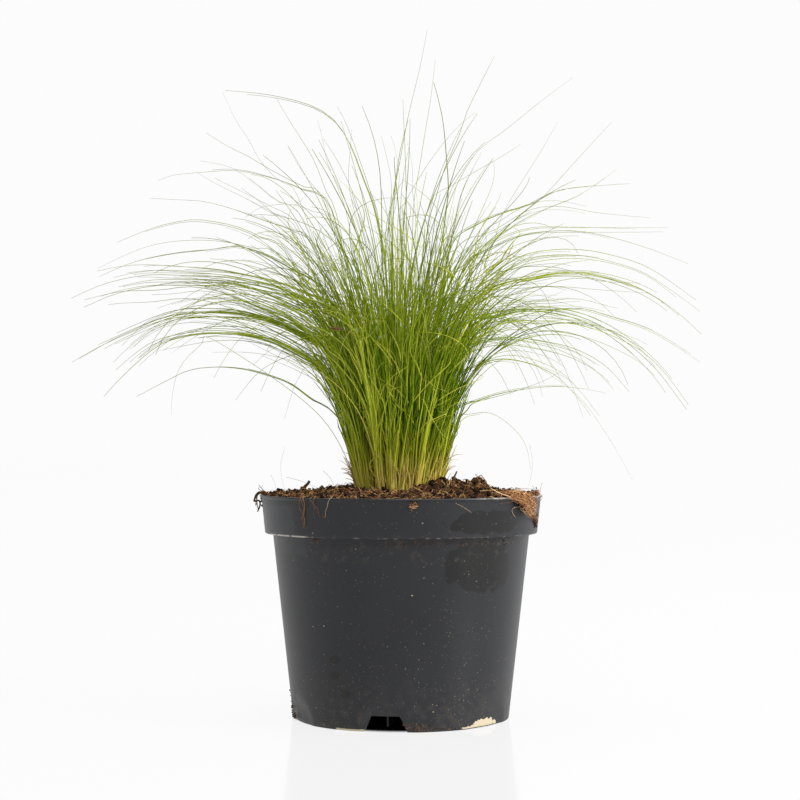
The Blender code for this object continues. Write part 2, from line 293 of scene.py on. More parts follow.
def tubes(paths: Array, radii: Array, sides: int = 3, **values: Array) -> Shape:
    """Closed tubes along many paths at once.

    At each station of a path stands a ring of points: the station, plus the radius times the cosine and
    sine of even angles along two directions square to the path. Each end has one face. On the UV map every
    tube has a column of its own, from its foot below to its tip above.

    Args:
        paths: (tubes, stations, 3) centres.
        radii: (tubes, stations) radii.
        sides: points in a ring.
        **values: numbers for the stations, (tubes, stations) or (tubes, 1).

    Returns:
        The tubes, with each point's share of its tube's length as the value along.
    """
    count, stations = paths.shape[:2]
    ahead = unit(np.gradient(paths, axis=1))
    reference = np.eye(3)[np.argmin(np.abs(ahead).max(axis=1), axis=1)][:, None]
    side = unit(np.cross(ahead, reference))
    normal = np.cross(ahead, side)
    angles = np.arange(sides) * math.tau / sides
    ring = side[:, :, None] * np.cos(angles)[:, None] + normal[:, :, None] * np.sin(angles)[:, None]
    points = paths[:, :, None] + np.broadcast_to(radii, (count, stations))[:, :, None, None] * ring
    numbers = np.arange(count * stations * sides).reshape(count, stations, sides)
    beside = np.roll(numbers, -1, axis=2)
    walls = np.stack([numbers[:, :-1], beside[:, :-1], beside[:, 1:], numbers[:, 1:]], axis=-1)
    ends = np.stack([numbers[:, 0, ::-1], numbers[:, -1]], axis=1)
    wide, tall = 1.0 - 2.0 * COLUMN_EDGE, 1.0 - 2.0 * WALL_EDGE
    left = (np.arange(count)[:, None] + COLUMN_EDGE + wide * np.arange(sides) / sides) / count
    right = left + wide / sides / count
    low = WALL_EDGE + tall * np.arange(stations - 1) / (stations - 1)
    high = low + tall / (stations - 1)
    u = np.broadcast_to(np.stack([left, right, right, left], axis=-1)[:, None], walls.shape)
    v = np.broadcast_to(np.stack([low, low, high, high], axis=-1)[None, :, None], walls.shape)
    middle = WALL_EDGE / 2.0
    end_u = (np.arange(count)[:, None, None] + 0.5 + END_WIDTH * np.cos(angles)) / count
    end_v = np.array([middle, 1.0 - middle])[None, :, None] + END_HEIGHT * np.sin(angles)
    end_places = np.stack(np.broadcast_arrays(end_u, end_v), axis=-1)
    given = {"along": even(stations)} | values
    return Shape(
        points.reshape(-1, 3),
        [walls.reshape(-1, 4), ends.reshape(-1, sides)],
        [np.stack([u, v], axis=-1).reshape(-1, 4, 2), end_places.reshape(-1, sides, 2)],
        {key: np.repeat(np.broadcast_to(v, (count, stations)).ravel(), sides) for key, v in given.items()},
    )


def turned_surface(points: Array) -> Shape:
    """A surface that closes round the axis, from a grid of its rows of points.

    Its rows go round by rising azimuth, and its faces point outwards where the next row is higher. A face
    of its own closes the first row and the last.

    Args:
        points: (rows, columns, 3) places.

    Returns:
        The closed surface.
    """
    rows, columns = points.shape[:2]
    numbers = np.arange(rows * columns).reshape(rows, columns)
    beside = np.roll(numbers, -1, axis=1)
    walls = np.stack([numbers[:-1], beside[:-1], beside[1:], numbers[1:]], axis=-1)
    return Shape(points.reshape(-1, 3), [walls.reshape(-1, 4), np.stack([numbers[0, ::-1], numbers[-1]])])


ICOSAHEDRON_FACES = np.array(
    [(0, 1 + i, 1 + (i + 1) % 5) for i in range(5)]
    + [(1 + i, 6 + i, 1 + (i + 1) % 5) for i in range(5)]
    + [(1 + (i + 1) % 5, 6 + i, 6 + (i + 1) % 5) for i in range(5)]
    + [(6 + i, 11, 6 + (i + 1) % 5) for i in range(5)]
)


def icosahedron() -> Array:
    """The twelve corners: two poles, and two rings of five at a height of one over the root of five.

    Returns:
        (12, 3) places, 1 from the middle.
    """
    turn = np.arange(5) * math.tau / 5
    wide, high = 2.0 / math.sqrt(5.0), 1.0 / math.sqrt(5.0)
    upper = np.stack([wide * np.cos(turn), wide * np.sin(turn), np.full(5, high)], axis=-1)
    half = turn + math.tau / 10
    lower = np.stack([wide * np.cos(half), wide * np.sin(half), np.full(5, -high)], axis=-1)
    return np.concatenate([[(0.0, 0.0, 1.0)], upper, lower, [(0.0, 0.0, -1.0)]])


# How far in or out a lump's corners stray, as a share of its size
LUMP_PLAY = (-0.3, 0.25)


def crumbs(centres: Array, sizes: Array, rng: np.random.Generator, tint: Array) -> Shape:
    """Rough lumps: icosahedra with uneven corners, stretched along three axes and turned at random.

    Args:
        centres: (lumps, 3) places.
        sizes: (lumps, 3) half lengths along each lump's own axes.
        rng: where the turns and the unevenness come from.
        tint: a number for each lump.

    Returns:
        The lumps as one shape.
    """
    count, even_corners = len(centres), icosahedron()
    per_lump = len(even_corners)
    corners = even_corners * (1.0 + rng.uniform(*LUMP_PLAY, (count, per_lump, 1)))
    axes = np.linalg.qr(rng.normal(size=(count, 3, 3)))[0]
    axes *= np.sign(np.linalg.det(axes))[:, None, None]
    points = centres[:, None] + np.einsum("nij,nkj->nki", axes, corners * sizes[:, None])
    faces = ICOSAHEDRON_FACES[None] + per_lump * np.arange(count)[:, None, None]
    return Shape(points.reshape(-1, 3), [faces.reshape(-1, 3)], [], {"tint": np.repeat(tint, per_lump)})


def forms(count: int, rng: np.random.Generator, width: Pair, thickness: Pair) -> Array:
    """Lumps' half lengths as shares of the longest, from the least and most of their width and thickness."""
    return np.stack([np.ones(count), rng.uniform(*width, count), rng.uniform(*thickness, count)], axis=-1)


@dataclass(frozen=True)
class Thread:
    """A root, twig or fibre.

    Attributes:
        places: on the soil x, y and z in mm, and on the pot azimuth in degrees, mm off it and height in mm.
        radius: in mm.
        tint: 0 dark to 1 pale.
    """

    places: tuple[Triple, ...]
    radius: float
    tint: float


def gnarled(
    threads: Sequence[Thread],
    lines: Sequence[Array],
    kinks: Array | float,
    size: float,
    thin: float,
    sides: int,
) -> Shape:
    """Threads along smooth lines, kinked by noise and thinner towards their ends.

    Args:
        threads: the threads.
        lines: each thread's line, with as many points as the others.
        kinks: how far noise moves them.
        size: the noise's size.
        thin: their thickness at the end, as a share of that at the start.
        sides: points round each.

    Returns:
        The threads as one shape.
    """
    paths = np.stack(lines)
    radii = np.array([thread.radius for thread in threads])[:, None] * MM
    radii = radii * np.linspace(1.0, thin, paths.shape[1])
    tint = np.array([thread.tint for thread in threads])[:, None]
    return tubes(paths + kinks * wobble(paths, size, 1.0), radii, sides, tint=tint)


# Materials as expressions


def srgb(*values: float) -> Triple:
    """A linear colour from its red, green and blue of 0 to 255, by the curve that defines sRGB.

    Args:
        *values: red, green and blue.

    Returns:
        The linear colour.
    """
    screen = np.array(values) / 255.0
    linear = np.where(screen <= 0.04045, screen / 12.92, ((screen + 0.055) / 1.055) ** 2.4)
    return tuple(float(x) for x in linear)


@dataclass(frozen=True)
class Grain:
    """Shader noise from 0 to 1.

    Attributes:
        size: about how large its spots are, in metres.
        detail: how many finer noises are added.
        upright: what heights are multiplied by first, so that less than 1 draws the spots out upwards.
        seed: which noise.
        rise: where it starts and where it is whole, or None for the noise as it is.
    """

    size: float
    detail: float = 3.0
    upright: float = 1.0
    seed: float = 0.0
    rise: Pair | None = None


def operator(operation: str, swapped: bool = False) -> Callable[["Field", "Field | float"], "Field"]:
    """A Python operator for fields, as a method that adds a Math node.

    Args:
        operation: the Math node's operation.
        swapped: whether the field comes second.

    Returns:
        The method.
    """

    def apply(field: "Field", other: "Field | float") -> "Field":
        """The Math node's result."""
        return field.graph.math(operation, *((other, field) if swapped else (field, other)))

    return apply


@dataclass(frozen=True)
class Field:
    """A shader value that varies over a surface. Python's operators on it add Math nodes."""

    graph: "Graph"
    socket: bpy.types.NodeSocket

    __add__ = __radd__ = operator("ADD")
    __sub__ = operator("SUBTRACT")
    __rsub__ = operator("SUBTRACT", swapped=True)
    __mul__ = __rmul__ = operator("MULTIPLY")
    __truediv__ = operator("DIVIDE")
    __pow__ = operator("POWER")

    def rise(self, low: float, high: float) -> "Field":
        """0 below low, 1 above high and smooth between; falls instead where high is below low."""
        limits = {"Value": self, "From Min": low, "From Max": high}
        return self.graph.field("MapRange", limits, interpolation_type="SMOOTHSTEP")

    def within(self, low: float, high: float, edge: float) -> "Field":
        """1 between low and high, and 0 an edge's width outside them."""
        return self.rise(low - edge, low) * self.rise(high + edge, high)

    def beside(self, output: str) -> "Field":
        """Another output of the same node."""
        return Field(self.graph, self.socket.node.outputs[output])


class Graph:
    """The nodes of one material, or of the world."""

    def __init__(self, owner: bpy.types.Material | bpy.types.World) -> None:
        """Starts with no nodes.

        Args:
            owner: the material or world whose nodes it holds.
        """
        owner.use_nodes = True
        self.owner = owner
        self.tree = owner.node_tree
        self.tree.nodes.clear()

    @classmethod
    def material(cls, name: str) -> "Graph":
        """The nodes of a new material."""
        return cls(bpy.data.materials.new(name))

    def node(self, kind: str, sockets: dict | None = None, **settings: object) -> bpy.types.Node:
        """Adds a node.

        Args:
            kind: its type, without the ShaderNode that each starts with.
            sockets: the values or fields of its inputs, by name or number.
            **settings: its properties; stops is a ramp's list of (place, colour).

        Returns:
            The node.
        """
        made = self.tree.nodes.new("ShaderNode" + kind)
        for key, value in settings.items():
            if key == "stops":
                self._set_stops(made.color_ramp, value)
            else:
                setattr(made, key, value)
        for key, value in (sockets or {}).items():
            if isinstance(value, Field):
                self.tree.links.new(value.socket, made.inputs[key])
            else:
                made.inputs[key].default_value = value
        return made

    @staticmethod
    def _set_stops(ramp: bpy.types.ColorRamp, stops: Sequence[tuple[float, Triple]]) -> None:
        """Gives a ramp its stops.

        Args:
            ramp: the ramp.
            stops: its places from 0 to 1 with their colours.
        """
        while len(ramp.elements) < len(stops):
            ramp.elements.new(0.5)
        for element, (place, colour) in zip(ramp.elements, stops):
            element.position = place
            element.color = (*colour, 1.0)

    def field(self, kind: str, sockets: dict | None = None, **settings: object) -> Field:
        """The first output of a new node."""
        return Field(self, self.node(kind, sockets, **settings).outputs[0])

    def math(self, operation: str, *values: Field | float) -> Field:
        """A Math node's result."""
        return self.field("Math", dict(enumerate(values)), operation=operation)

    def strongest(self, values: Iterable[Field]) -> Field:
        """The greatest of several values at each place."""
        return reduce(lambda first, second: self.math("MAXIMUM", first, second), values)

    def place(self) -> Field:
        """The place on the surface, in metres."""
        return self.field("TexCoord").beside("Object")

    def axes(self, place: Field | None = None) -> tuple[Field, Field, Field]:
        """A place's three numbers, of the place on the surface unless another is given."""
        x = self.field("SeparateXYZ", {0: place or self.place()})
        return x, x.beside("Y"), x.beside("Z")

    def azimuth(self) -> Field:
        """The place's azimuth in degrees."""
        x, y, _ = self.axes()
        return self.math("ARCTAN2", x, 0.0 - y) * math.degrees(1.0)

    def value(self, name: str) -> Field:
        """A number that the mesh gives its points."""
        return self.field("Attribute", attribute_name=name).beside("Fac")

    def scaled(self, vector: Field | Triple, scale: Field | float | Triple) -> Field:
        """A vector times a value, or times three numbers.

        Args:
            vector: the vector.
            scale: a value, or a number for each axis.

        Returns:
            The vector, scaled.
        """
        if isinstance(scale, tuple):
            return self.field("VectorMath", {0: vector, 1: scale}, operation="MULTIPLY")
        return self.field("VectorMath", {0: vector, "Scale": scale}, operation="SCALE")

    def noise(self, grain: Grain) -> Field:
        """A noise.

        Args:
            grain: its recipe.

        Returns:
            The noise, or its rise where the recipe has one.
        """
        place = self.scaled(self.place(), (1.0, 1.0, grain.upright))
        inputs = {"Vector": place, "W": grain.seed, "Scale": 1.0 / grain.size, "Detail": grain.detail}
        made = self.field("TexNoise", inputs, noise_dimensions="4D")
        return made.rise(*grain.rise) if grain.rise else made

    def cells(self, size: float, stretch: Triple) -> tuple[Field, Field]:
        """The distance to the nearest of scattered points, in cells of that size, and a number for each.

        Args:
            size: the size in metres.
            stretch: what the place is multiplied by first.

        Returns:
            The distance and the number.
        """
        place = {"Vector": self.scaled(self.place(), stretch), "Scale": 1.0 / size}
        near = self.field("TexVoronoi", place, voronoi_dimensions="3D")
        return near, self.field("SeparateColor", {0: near.beside("Color")})

    def ramp(self, value: Field, stops: Sequence[tuple[float, Triple]]) -> Field:
        """A colour for each value."""
        return self.field("ValToRGB", {"Fac": value}, stops=stops)

    def blend(self, first: Field | Triple, second: Field | Triple, share: Field | float) -> Field:
        """Two colours mixed.

        Args:
            first: the colour where share is 0.
            second: the colour where share is 1.
            share: how much of second.

        Returns:
            The colour.
        """
        colours = [c if isinstance(c, Field) else (*c, 1.0) for c in (first, second)]
        made = self.node("Mix", {0: share, 6: colours[0], 7: colours[1]}, data_type="RGBA")
        return Field(self, made.outputs[2])

    def bump(self, height: Field, depth: float) -> Field:
        """A normal from a height from 0 to 1 that stands for that depth in metres."""
        return self.field("Bump", {"Strength": 1.0, "Distance": depth, "Height": height})

    def finish(
        self, colour: Field, roughness: Field | float, normal: Field | None, shine: float
    ) -> bpy.types.Material:
        """Ends the material in a Principled BSDF.

        Args:
            colour: the base colour.
            roughness: the roughness.
            normal: the normal, if it has bumps.
            shine: how strongly it mirrors, where 0.5 is plain plastic.

        Returns:
            The material.
        """
        sockets = {"Base Color": colour, "Roughness": roughness, "Specular IOR Level": shine}
        if normal is not None:
            sockets["Normal"] = normal
        return self.ended(self.field("BsdfPrincipled", sockets))

    def ended(self, shader: Field) -> bpy.types.Material | bpy.types.World:
        """The owner, with the shader as its surface.

        Args:
            shader: what the surface, or the world, wears.

        Returns:
            The material or world.
        """
        kind = "World" if isinstance(self.owner, bpy.types.World) else "Material"
        self.node("Output" + kind, {"Surface": shader})
        return self.owner


@dataclass(frozen=True)
class Outside:
    """The pot's outside, to its finish: the material's nodes, azimuth in degrees and height in metres."""

    graph: Graph
    azimuth: Field
    z: Field


@dataclass(frozen=True)
class Patch:
    """A stretch of the pot's outside: azimuths in degrees, heights in mm, and how strongly it shows."""

    left: float
    right: float
    low: float
    high: float
    strength: float

    def on(self, outside: Outside, edge: float) -> Field:
        """Its strength inside it, falling to 0 an edge's degrees, or two thirds as many mm, outside it."""
        across = outside.azimuth.within(self.left, self.right, edge)
        return across * (outside.z / MM).within(self.low, self.high, edge / 1.5) * self.strength


@dataclass(frozen=True)
class Specks:
    """Specks of one size on the pot, at most one for each cell.

    Attributes:
        size: the cells' size.
        stretch: their stretch.
        reach: where a speck ends and where it is full, as shares of its cell.
        pick: the number of a cell from which it starts to have a speck, and has a full one.
        crowd: how much a specky place adds to that number.
        strength: how strongly the specks show.
    """

    size: float
    stretch: Triple
    reach: Pair
    pick: Pair
    crowd: float
    strength: float


@dataclass(frozen=True)
class PotPlastic:
    """Black moulded plastic under a thin film of dust, with specks, splashes, a worn edge and dried clay.

    Of two limits something starts at the first and is whole at the second. Three are a stretch's ends and
    the width of its edges. Heights are in metres, and azimuths in degrees.
    """

    bare: Triple = srgb(16, 16, 15)
    film: Triple = srgb(35, 36, 40)
    dust: Triple = srgb(84, 76, 66)
    scuff: Triple = srgb(92, 95, 98)
    pale: Triple = srgb(186, 180, 172)
    speck: Triple = srgb(160, 144, 120)
    clay: Triple = srgb(200, 186, 158)
    mud: Triple = srgb(98, 66, 42)
    cloud: Grain = Grain(35 * MM, 4.0, 0.45, rise=(0.2, 0.75))
    grain: Grain = Grain(1.1 * MM, seed=2.0)
    foot_dust: Grain = Grain(5 * MM, 5.0, seed=4.0, rise=(0.4, 0.75))
    step_dust: Grain = Grain(5 * MM, 4.0, seed=5.0, rise=(0.5, 0.75))
    smears: Grain = Grain(3.5 * MM, 2.0, 0.5, 12.0)
    mud_spots: Grain = Grain(1.2 * MM, 4.0, seed=8.0, rise=(0.52, 0.66))
    mud_relief: Grain = Grain(0.9 * MM, 2.0, seed=9.0)
    splash_edge: Grain = Grain(7 * MM, 5.0, seed=6.0)
    broken: Grain = Grain(3 * MM, 4.0, 0.3, 7.0)
    ragged: Grain = Grain(2.0 * MM, 5.0, seed=11.0)
    # The film everywhere, by cloud and by grain, and what a splash takes off it
    film_strength: tuple[float, ...] = (0.55, 0.35, 0.3, 0.9)
    dust_strength: float = 0.3
    # How far the grain, the specks, the clay and the mud stand out, in reliefs
    standing: tuple[float, ...] = (0.4, 0.5, 1.5, 2.5)
    relief: float = 0.12 * MM
    # How rough the bare plastic is, and what the film, the dirt and the dust at the foot add
    roughness: tuple[float, ...] = (0.34, 0.1, 0.3, 0.15)
    shine: float = 0.34
    dusty_foot: Pair = (40 * MM, 2 * MM)
    dusty_step: Triple = (100 * MM, 111 * MM, 5 * MM)
    # Splashes: azimuth, half width in degrees, least and most height in mm
    splashes: tuple[tuple[float, float, float, float], ...] = (
        (38.0, 19.0, 80.0, 112.0),
        (37.0, 18.0, 113.5, 127.5),
        (-33.4, 3.0, 38.4, 43.6),
        (-34.0, 3.4, 29.0, 34.4),
        (-28.4, 2.6, 18.0, 24.0),
    )
    splash_ragged: float = 2.4
    splash_rim: Pair = (1.04, 0.9)
    mud_patches: tuple[Patch, ...] = (
        Patch(3, 12, 0.8, 5.0, 0.9),
        Patch(12, 26, 0.3, 1.8, 0.7),
        Patch(-96, -72, 0.5, 11, 0.9),
        Patch(-42, -36, 108, 111, 0.6),
        Patch(-12, 2, 106.5, 110.8, 0.4),
        Patch(6, 17, 108, 110.8, 0.5),
        Patch(22, 60, 107.5, 110.8, 0.35),
        Patch(-74, -69, 127, 132, 0.5),
    )
    scuff_patches: tuple[Patch, ...] = (Patch(-66, -48, 102, 109, 0.2), Patch(-80, -50, 113, 128, 0.2))
    mud_edge: float = 2.0
    scuff_edge: float = 4.0
    specks: tuple[Specks, ...] = (
        Specks(1.25 * MM, (1.0, 1.0, 1.0), (0.3, 0.12), (0.86, 0.98), 1.4, 0.3),
        Specks(2.6 * MM, (1.0, 0.96, 1.05), (0.19, 0.1), (0.88, 0.98), 1.4, 0.4),
        Specks(6.1 * MM, (0.97, 1.0, 1.04), (0.1, 0.05), (0.84, 0.92), 0.0, 0.8),
    )
    specky_foot: Pair = (62 * MM, 6 * MM)
    specky_run: tuple[Triple, Triple] = ((20.5, 24.5, 1.5), (40 * MM, 74 * MM, 5 * MM))
    # What the foot and the run add to how specky a place is
    crowding: Pair = (0.1, 0.12)
    reddish: Pair = (0.72, 0.8)
    redness: float = 0.3
    worn_edge: Triple = (111.5 * MM, 112.1 * MM, 0.35 * MM)
    worn_left: Triple = (-68.0, -44.0, 5.0)
    worn_lip: tuple[Pair, Triple] = ((133.4 * MM, 134.0 * MM), (40.0, 88.0, 12.0))
    # The limits of the wear's breaks, and its strength: at the left, on the lip and on the rest of the edge
    worn_breaks: tuple[Pair, Pair, Pair] = ((0.36, 0.5), (0.3, 0.5), (0.5, 0.75))
    worn_strength: Triple = (0.8, 0.6, 0.25)
    clay_patch: Triple = (33.0, 60.0, 1.2)
    clay_heights: tuple[Pair, Pair] = ((1.9 * MM, 1.4 * MM), (0.3 * MM, 0.8 * MM))
    clay_slope: Triple = (44.0, 54.0, 7.0)
    # How far noise moves the patch's upper edge, and how far that rises at the slope, in mm
    clay_ragged: float = 6.0
    clay_rise: float = 2.8
    clay_strip: tuple[Triple, Pair] = ((-34.0, -20.0, 2.0), (1.5 * MM, 0.9 * MM))
    # How ragged and how strong the strip is, as shares of the patch
    strip_shares: Pair = (0.12, 0.85)

    def material(self) -> bpy.types.Material:
        """Film over the bare plastic, then dust, scuffs, mud, specks, worn edges and clay.

        Returns:
            The material.
        """
        graph = Graph.material("pot_plastic")
        outside = Outside(graph, graph.azimuth(), graph.axes()[2])
        everywhere, by_cloud, by_grain, splashed = self.film_strength
        grain = graph.noise(self.grain)
        film = graph.noise(self.cloud) * by_cloud + everywhere + (grain - 0.5) * by_grain
        film = film * (1.0 - self._splashed(outside) * splashed)
        colour = graph.blend(self.bare, self.film, film)
        low = outside.z.rise(*self.dusty_foot) * graph.noise(self.foot_dust)
        under_band = outside.z.within(*self.dusty_step) * graph.noise(self.step_dust)
        colour = graph.blend(colour, self.dust, low * self.dust_strength + under_band * self.dust_strength)
        scuffed = graph.strongest(patch.on(outside, self.scuff_edge) for patch in self.scuff_patches)
        colour = graph.blend(colour, self.scuff, scuffed * graph.noise(self.smears))
        mud = graph.strongest(patch.on(outside, self.mud_edge) for patch in self.mud_patches)
        mud = mud * graph.noise(self.mud_spots)
        colour = graph.blend(colour, self.mud, mud)
        specks, red = self._specks(outside)
        colour = graph.blend(colour, graph.blend(self.speck, self.mud, red), specks)
        colour = graph.blend(colour, self.pale, self._worn(outside))
        clay = self._clay(outside)
        colour = graph.blend(colour, self.clay, clay)
        of_grain, of_specks, of_clay, of_mud = self.standing
        height = grain * of_grain + specks * of_specks + clay * of_clay
        height = height + mud * graph.noise(self.mud_relief) * of_mud
        bare, of_film, of_dirt, of_dust = self.roughness
        roughness = bare + film * of_film + (specks + clay + mud) * of_dirt + low * of_dust
        return graph.finish(colour, roughness, graph.bump(height, self.relief), self.shine)

    def _splashed(self, outside: Outside) -> Field:
        """Where water thinned the film: ovals whose edge noise makes ragged.

        Args:
            outside: the pot's outside.

        Returns:
            1 inside a splash, and 0 outside.
        """
        edge = outside.graph.noise(self.splash_edge) - 0.5
        ovals = []
        for centre, width, low, high in self.splashes:
            across = ((outside.azimuth - centre) / width) ** 2.0
            up = ((outside.z / MM - (low + high) / 2.0) / (high - low) * 2.0) ** 2.0
            ovals.append((across + up + edge * self.splash_ragged).rise(*self.splash_rim))
        return outside.graph.strongest(ovals)

    def _specks(self, outside: Outside) -> tuple[Field, Field]:
        """Fine pale specks of three sizes, thicker near the foot and in a run at the right.

        Args:
            outside: the pot's outside.

        Returns:
            How strongly a speck shows, and how red it is.
        """
        across, up = self.specky_run
        run = outside.azimuth.within(*across) * outside.z.within(*up)
        at_foot, in_run = self.crowding
        crowd = outside.z.rise(*self.specky_foot) * at_foot + run * in_run
        shown, numbers = [], []
        for kind in self.specks:
            near, number = outside.graph.cells(kind.size, kind.stretch)
            crowded = number + crowd * kind.crowd if kind.crowd else number
            shown.append(near.rise(*kind.reach) * crowded.rise(*kind.pick) * kind.strength)
            numbers.append(number)
        return outside.graph.strongest(shown), numbers[1].beside("Green").rise(*self.reddish) * self.redness

    def _worn(self, outside: Outside) -> Field:
        """Pale scuffs: a thin line along the band's lower edge, most at the left, and the lip at the right.

        Args:
            outside: the pot's outside.

        Returns:
            How strongly the wear shows.
        """
        line = outside.z.within(*self.worn_edge)
        broken = outside.graph.noise(self.broken)
        at_left, on_lip, elsewhere = (broken.rise(*limits) for limits in self.worn_breaks)
        of_left, of_lip, of_rest = self.worn_strength
        left = outside.azimuth.within(*self.worn_left) * at_left
        up, across = self.worn_lip
        lip = outside.z.rise(*up) * outside.azimuth.within(*across) * on_lip
        return line * outside.graph.strongest([left * of_left, elsewhere * of_rest]) + lip * of_lip

    def _clay(self, outside: Outside) -> Field:
        """Pale clay dried on the foot: a jagged patch at the right and a thin strip left of the notch.

        Args:
            outside: the pot's outside.

        Returns:
            How strongly the clay shows.
        """
        azimuth, z = outside.azimuth, outside.z
        ragged = (outside.graph.noise(self.ragged) - 0.5) * self.clay_ragged * MM
        slope = azimuth.within(*self.clay_slope) * self.clay_rise * MM
        top, bottom = self.clay_heights
        patch = azimuth.within(*self.clay_patch) * (z + ragged - slope).rise(*top) * z.rise(*bottom)
        across, up = self.clay_strip
        raggedness, strength = self.strip_shares
        strip = azimuth.within(*across) * (z + ragged * raggedness).rise(*up)
        return outside.graph.strongest([patch, strip * strength])


@dataclass(frozen=True)
class PeatSoil:
    """Damp peat: near black in the hollows, with brown and reddish crumbs and fibres."""

    name: str = "peat_soil"
    black: Triple = srgb(20, 13, 9)
    dark: Triple = srgb(44, 28, 17)
    brown: Triple = srgb(88, 58, 35)
    red: Triple = srgb(122, 80, 44)
    tan: Triple = srgb(176, 134, 86)
    fine: Grain = Grain(0.8 * MM, 5.0)
    coarse: Grain = Grain(5 * MM, seed=1.0)
    # The limits of the fine noise, what it and the coarse noise add to the shade, and what comes off
    fine_limits: Pair = (0.3, 0.75)
    shading: Triple = (0.7, 0.5, 0.22)
    # What a crumb's own tint and the fine noise add to its shade
    piece_shading: Pair = (0.9, 0.5)
    # The shades of the five colours
    stops: tuple[float, ...] = (0.0, 0.28, 0.55, 0.8, 1.0)
    relief: float = 0.5 * MM
    dullness: float = 0.92
    shine: float = 0.12
    by_piece: bool = False

    def material(self) -> bpy.types.Material:
        """Brown by fine and coarse noise, or by each crumb's own tint where by_piece is set.

        Returns:
            The material.
        """
        graph = Graph.material(self.name)
        fine = graph.noise(self.fine)
        if self.by_piece:
            of_tint, of_fine = self.piece_shading
            shade = graph.value("tint") * of_tint + (fine - 0.5) * of_fine
        else:
            of_fine, of_coarse, less = self.shading
            shade = fine.rise(*self.fine_limits) * of_fine + graph.noise(self.coarse) * of_coarse - less
        colours = (self.black, self.dark, self.brown, self.red, self.tan)
        colour = graph.ramp(shade, list(zip(self.stops, colours)))
        return graph.finish(colour, self.dullness, graph.bump(fine, self.relief), self.shine)


@dataclass(frozen=True)
class Fibre:
    """Dry plant fibre: its tint runs from a dark to a pale colour, with uneven shade along each strand."""

    name: str
    dark: Triple
    mid: Triple
    pale: Triple
    grain: Grain = Grain(1.6 * MM)
    unevenness: float = 0.5
    relief: float = 0.1 * MM
    dullness: float = 0.8
    shine: float = 0.2

    def material(self) -> bpy.types.Material:
        """The strand's own tint, broken by fine noise.

        Returns:
            The material.
        """
        graph = Graph.material(self.name)
        spots = graph.noise(self.grain)
        shade = graph.value("tint") + (spots - 0.5) * self.unevenness
        colour = graph.ramp(shade, [(0.0, self.dark), (0.5, self.mid), (1.0, self.pale)])
        return graph.finish(colour, self.dullness, graph.bump(spots, self.relief), self.shine)


@dataclass(frozen=True)
class BladeGreen:
    """Feather grass: straw at the foot, yellow-green above it, fresh green, then thin grey-green tips. Low
    in the clump's middle the blades are painted dark brown, as painted shade between them.
    """

    straw: Triple = srgb(212, 190, 96)
    low: Triple = srgb(172, 166, 42)
    yellow: Triple = srgb(184, 194, 56)
    green: Triple = srgb(110, 138, 14)
    deep: Triple = srgb(50, 80, 6)
    high: Triple = srgb(118, 134, 12)
    tip: Triple = srgb(122, 124, 56)
    dead: Triple = srgb(206, 176, 104)
    # Painted shade: the dark brown that the blades low in the clump's middle are painted, for the shade
    # between them
    painted_shade: Triple = srgb(52, 38, 14)
    streak: Grain = Grain(2.2 * MM, 3.0, 0.12)
    # How far streaks move a blade's tint, and in mm the heights where low and straw start
    streak_tint: float = 0.4
    streak_heights: Pair = (40.0, 26.0)
    high_strength: float = 0.45
    low_strength: float = 0.6
    # Straw everywhere, more at the right, and more by tint
    straw_strength: Triple = (0.2, 0.25, 0.5)
    tip_strength: float = 0.8
    painted_shade_strength: float = 0.85
    # Where each starts and is whole: heights, x to the right, a share of full growth, and the radius inside
    # which the painted shade lies
    high_from: Pair = (190 * MM, 270 * MM)
    low_from: Pair = (186 * MM, 146 * MM)
    straw_from: Pair = (164 * MM, 138 * MM)
    straw_right: Pair = (-5 * MM, 26 * MM)
    tip_from: Pair = (0.6, 1.0)
    painted_shade_within: Pair = (24 * MM, 20 * MM)
    painted_shade_below: Pair = (178 * MM, 150 * MM)
    dullness: float = 0.55
    shine: float = 0.1

    def material(self) -> bpy.types.Material:
        """Colour by height and by how grown the blade is, tint picking its green, dry its deadness, and
        painted shade low in the clump's middle.

        Returns:
            The material.
        """
        graph = Graph.material("grass_blades")
        grown = graph.value("grown")
        tint = graph.value("tint")
        streak = graph.noise(self.streak) - 0.5
        greens = [(0.0, self.deep), (0.45, self.green), (1.0, self.yellow)]
        own = graph.ramp(tint + streak * self.streak_tint, greens)
        x, y, z = graph.axes()
        colour = graph.blend(own, self.high, z.rise(*self.high_from) * self.high_strength)
        of_low, of_straw = self.streak_heights
        low = (z + streak * of_low * MM).rise(*self.low_from)
        colour = graph.blend(colour, self.low, low * self.low_strength)
        straw = (z + streak * of_straw * MM).rise(*self.straw_from)
        everywhere, at_right, by_tint = self.straw_strength
        straw = straw * (x.rise(*self.straw_right) * at_right + everywhere + tint * by_tint)
        colour = graph.blend(colour, self.straw, straw)
        colour = graph.blend(colour, self.tip, grown.rise(*self.tip_from) * self.tip_strength)
        colour = graph.blend(colour, self.dead, graph.value("dry"))
        # Painted shade: blades near the axis and low down are painted dark brown, for the shade deep in the
        # clump
        inner = ((x * x + y * y) ** 0.5).rise(*self.painted_shade_within) * z.rise(*self.painted_shade_below)
        colour = graph.blend(colour, self.painted_shade, inner * self.painted_shade_strength)
        return graph.finish(colour, self.dullness, None, self.shine)


# The pot


